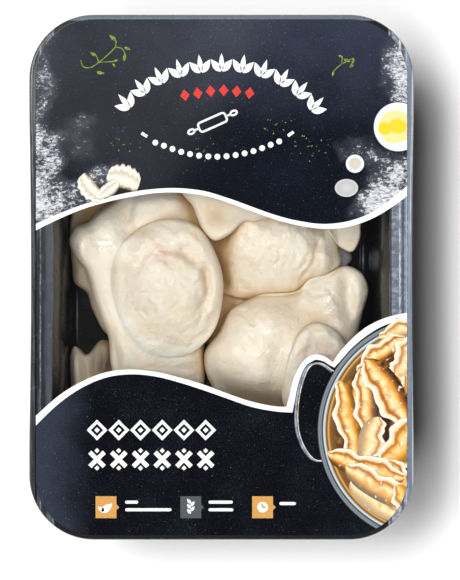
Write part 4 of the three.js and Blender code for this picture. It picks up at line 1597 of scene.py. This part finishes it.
fried = [
    # middle, turn, length, rise, belly, bend
    [(61.0, -64.0), 170, 26, 2.2, 6.0, 1.0],
    [(48.4, -43.0), 254, 22, 2.2, 5.0, 0.8],
    [(65.6, -18.4), 16, 20, 2.2, 5.0, 1.8],
    [(60.0, -36.0), -16, 18, 2.2, 7.0, 1.0],
    [(56.6, -27.4), 37, 21, 2.4, 5.4, 2.2],
    [(65.2, -27.0), 62, 17, 2.6, 8.6, 1.2],
    [(44.6, -51.0), 101, 29, 2.6, 5.8, 1.4],
    [(50.4, -44.4), 96, 24, 2.4, 5.6, 1.0],
    [(67.6, -45.4), 104, 22, 2.6, 8.0, 1.0],
    [(57.6, -41.6), 122, 28, 2.8, 8.8, 1.4],
    [(54.4, -58.0), 258, 17, 2.8, 6.6, 0.8],
    [(63.4, -56.6), 52, 23, 2.8, 9.4, 1.2],
    [(66.0, -72.6), -50, 20, 2.4, 6.4, 1.2],
    [(54.8, -79.0), -36, 22, 2.2, 5.6, 1.2],
    [(51.6, -66.6), -18, 29, 2.6, 6.4, 1.0],
    [(56.0, -73.4), -30, 27, 2.6, 7.0, 1.4],
    [(65.8, -82.0), 118, 18, 2.4, 6.0, 1.2],
]
rows = []
for i, row in enumerate(fried):
    rows.append([*row, (2.9, 0.34), 0.95, secondLayer + 0.003 + food["step"] * i])
moons("fried_dumplings_picture", rows, friedInk)

rawInk, graph = newMaterial("raw_dough_ink")
place = graph.place()
mottle = graph.noise(place, 1.5, 3.0, 0.6)
along, across = graph.attribute("along"), graph.attribute("across")
pleat = graph.maths("SINE", 50.0 * along) * (1.0 - graph.fade(across, 0.1, 0.6))
rawRows = [
    (0.0, (120, 106, 84)), (0.06, (236, 232, 224)), (0.2, (244, 240, 232)),
    (0.36, (206, 194, 170)), (0.6, (240, 234, 222)), (0.8, (228, 220, 204)),
    (0.94, (150, 130, 96)), (1.0, (44, 36, 26)),
]
base = ramp(graph, rawRows, across + 0.3 * mottle - 0.15)
tone = graph.between(0.4 * pleat * mottle, base, shade(176, 154, 120))
graph.surface({"Base Color": tone, **food["gloss"]})
rows = [
    [(-45.4, 32.4), 132, 11.4, 4.4, 2.0, 0.8, (7, 0.06), 0.5, firstLayer + 0.002],
    [(-35.0, 34.2), -18, 11.8, 5.0, 3.6, 0.8, (8, 0.07), 0.5, firstLayer + 0.006],
    [(-40.0, 31.4), 40, 8.4, 2.2, 2.6, 0.0, (2, 0.05), 0.7, firstLayer + 0.010],
]
moons("raw_dumplings_picture", rows, rawInk)


def yolks(graph, place, x, y, tone):
    swirl = graph.noise(place, 3.4, 3.0, 0.6)
    thin = graph.spot(x, y, (62.0, 53.4), (7.6, 7.4)) + 0.5 * swirl
    tone = graph.between(graph.fade(thin, 0.42, 0.66), tone, shade(250, 222, 150))
    for middle, radii in (((58.0, 52.8), (3.0, 2.8)), ((62.6, 53.6), (3.8, 3.2))):
        yolk = graph.spot(x, y, middle, radii) + 0.3 * swirl
        tone = graph.between(graph.fade(yolk, 0.34, 0.46), tone, shade(255, 208, 30))
    return tone


dishRows = [
    (0.0, (246, 240, 228)), (0.8, (252, 248, 238)), (0.88, (255, 255, 255)),
    (0.955, (236, 238, 240)), (0.97, (30, 32, 40)), (1.0, (22, 24, 32)),
]
outline = within(oval(food["dish"], (9.0, 9.0), 0, 64))
roundPicture("dish_picture", outline, food["dish"], (9.0, 9.0), dishRows, 1.0, yolks)
cupRows = [
    (0.0, (214, 204, 180)), (0.5, (206, 196, 186)), (0.66, (224, 216, 212)),
    (0.74, (255, 255, 255)), (0.93, (246, 246, 248)), (0.96, (24, 26, 34)), (1.0, (20, 22, 30)),
]
roundPicture("cup_picture", oval(food["cup"], (3.4, 3.4)), food["cup"], (3.4, 3.4), cupRows)
eggRows = [
    (0.0, (204, 203, 203)), (0.7, (184, 184, 186)), (0.9, (202, 201, 200)),
    (0.94, (214, 208, 204)), (0.97, (20, 22, 30)), (1.0, (16, 18, 26)),
]
roundPicture("egg_picture", oval(food["egg"], (4.3, 3.3)), food["egg"], (4.3, 3.3), eggRows)

# the pan's handle: black wire with a bluish and a tan glint
handle = [
    (39.6, -33.4), (35.0, -30.6), (31.4, -31.6), (28.6, -37.2), (26.9, -46.4), (27.3, -55.2),
    (30.2, -62.0), (33.4, -65.0), (36.4, -65.2),
]
black = plainInk("handle_black", shade(9, 10, 14), shade(14, 16, 22))
steel = plainInk("handle_steel", shade(92, 112, 136), shade(150, 168, 186), 2.5)
tan = plainInk("handle_tan", shade(196, 162, 116), shade(236, 232, 226), 3.0)
for i, (ink, width, shift) in enumerate(((black, 2.1, 0), (steel, 0.7, -0.45), (tan, 0.32, 0.3))):
    line = pathMesh(throughPoints(handle, 8) + (shift, 0), firstLayer + 0.004 * i)
    gather(ink.name, inkLines([line], width, ink), ink)

# sprigs and strewn flecks of herb
stems = [
    [(-50.0, 77.2), (-49.2, 74.9), (-46.8, 74.4), (-43.6, 76.3), (-39.4, 79.9), (-37.6, 81.8)],
    [(-43.6, 76.3), (-44.4, 78.6)],
    [(-43.6, 76.3), (-38.4, 76.6)],
    [(-37.6, 81.8), (-37.4, 84.0)],
    [(-37.6, 81.8), (-35.4, 81.2), (-34.2, 79.4)],
    [(45.6, 74.5), (46.9, 77.6), (42.6, 75.6), (39.8, 73.2)],
    [(42.6, 75.6), (43.0, 78.2)],
]
leaves = [  # length, width, turn, stalk
    (2.6, 1.1, 150, (-44.4, 78.6)), (1.8, 0.8, 20, (-38.4, 76.6)), (1.7, 0.7, -60, (-38.6, 76.0)),
    (3.0, 1.1, -8, (-44.5, 72.8)), (3.2, 1.3, 140, (-37.4, 84.0)), (3.0, 1.1, -100, (-34.2, 79.4)),
    (2.6, 1.0, -18, (-34.6, 81.6)), (1.8, 0.8, 160, (43.0, 78.2)), (2.6, 1.1, -20, (43.4, 77.4)),
    (2.2, 0.9, 80, (46.6, 75.8)), (2.0, 0.9, -100, (39.8, 73.2)), (2.0, 0.9, 30, (45.4, 74.6)),
]
sprigs = inkLines([pathMesh(throughPoints(s, 6), firstLayer + 0.01) for s in stems], 0.34, green)
low = firstLayer + 0.004
shapes = [slabOf(leafAt(*leaf), low, low + art["layer"]) for leaf in leaves]
gather("herb_sprigs", [*sprigs, meshOf("leaves", *joined(shapes))], green)

patches = [oval((-34, 47.5), (6.5, 4.0), -20, 12), oval((-6, 45.5), (4.5, 5), 20, 12)]
patches += [oval((32, 47), (7, 6), -35, 12), oval((20, 55), (6, 5), 0, 12)]
grounds = []
for patch in patches:
    points = [(x, y, firstLayer) for x, y in patch]
    grounds.append(meshOf("patch", points, [tuple(range(len(patch)))]))
fleck = motifOf("fleck_motif", [leafAt(0.9, 0.42, steps=5)])
herb = {"Motif": fleck, "Material": green, **food["flecks"]}
gather("herb_flecks", grown(strewTree, grounds, herb), green)
print("food pictures ready")
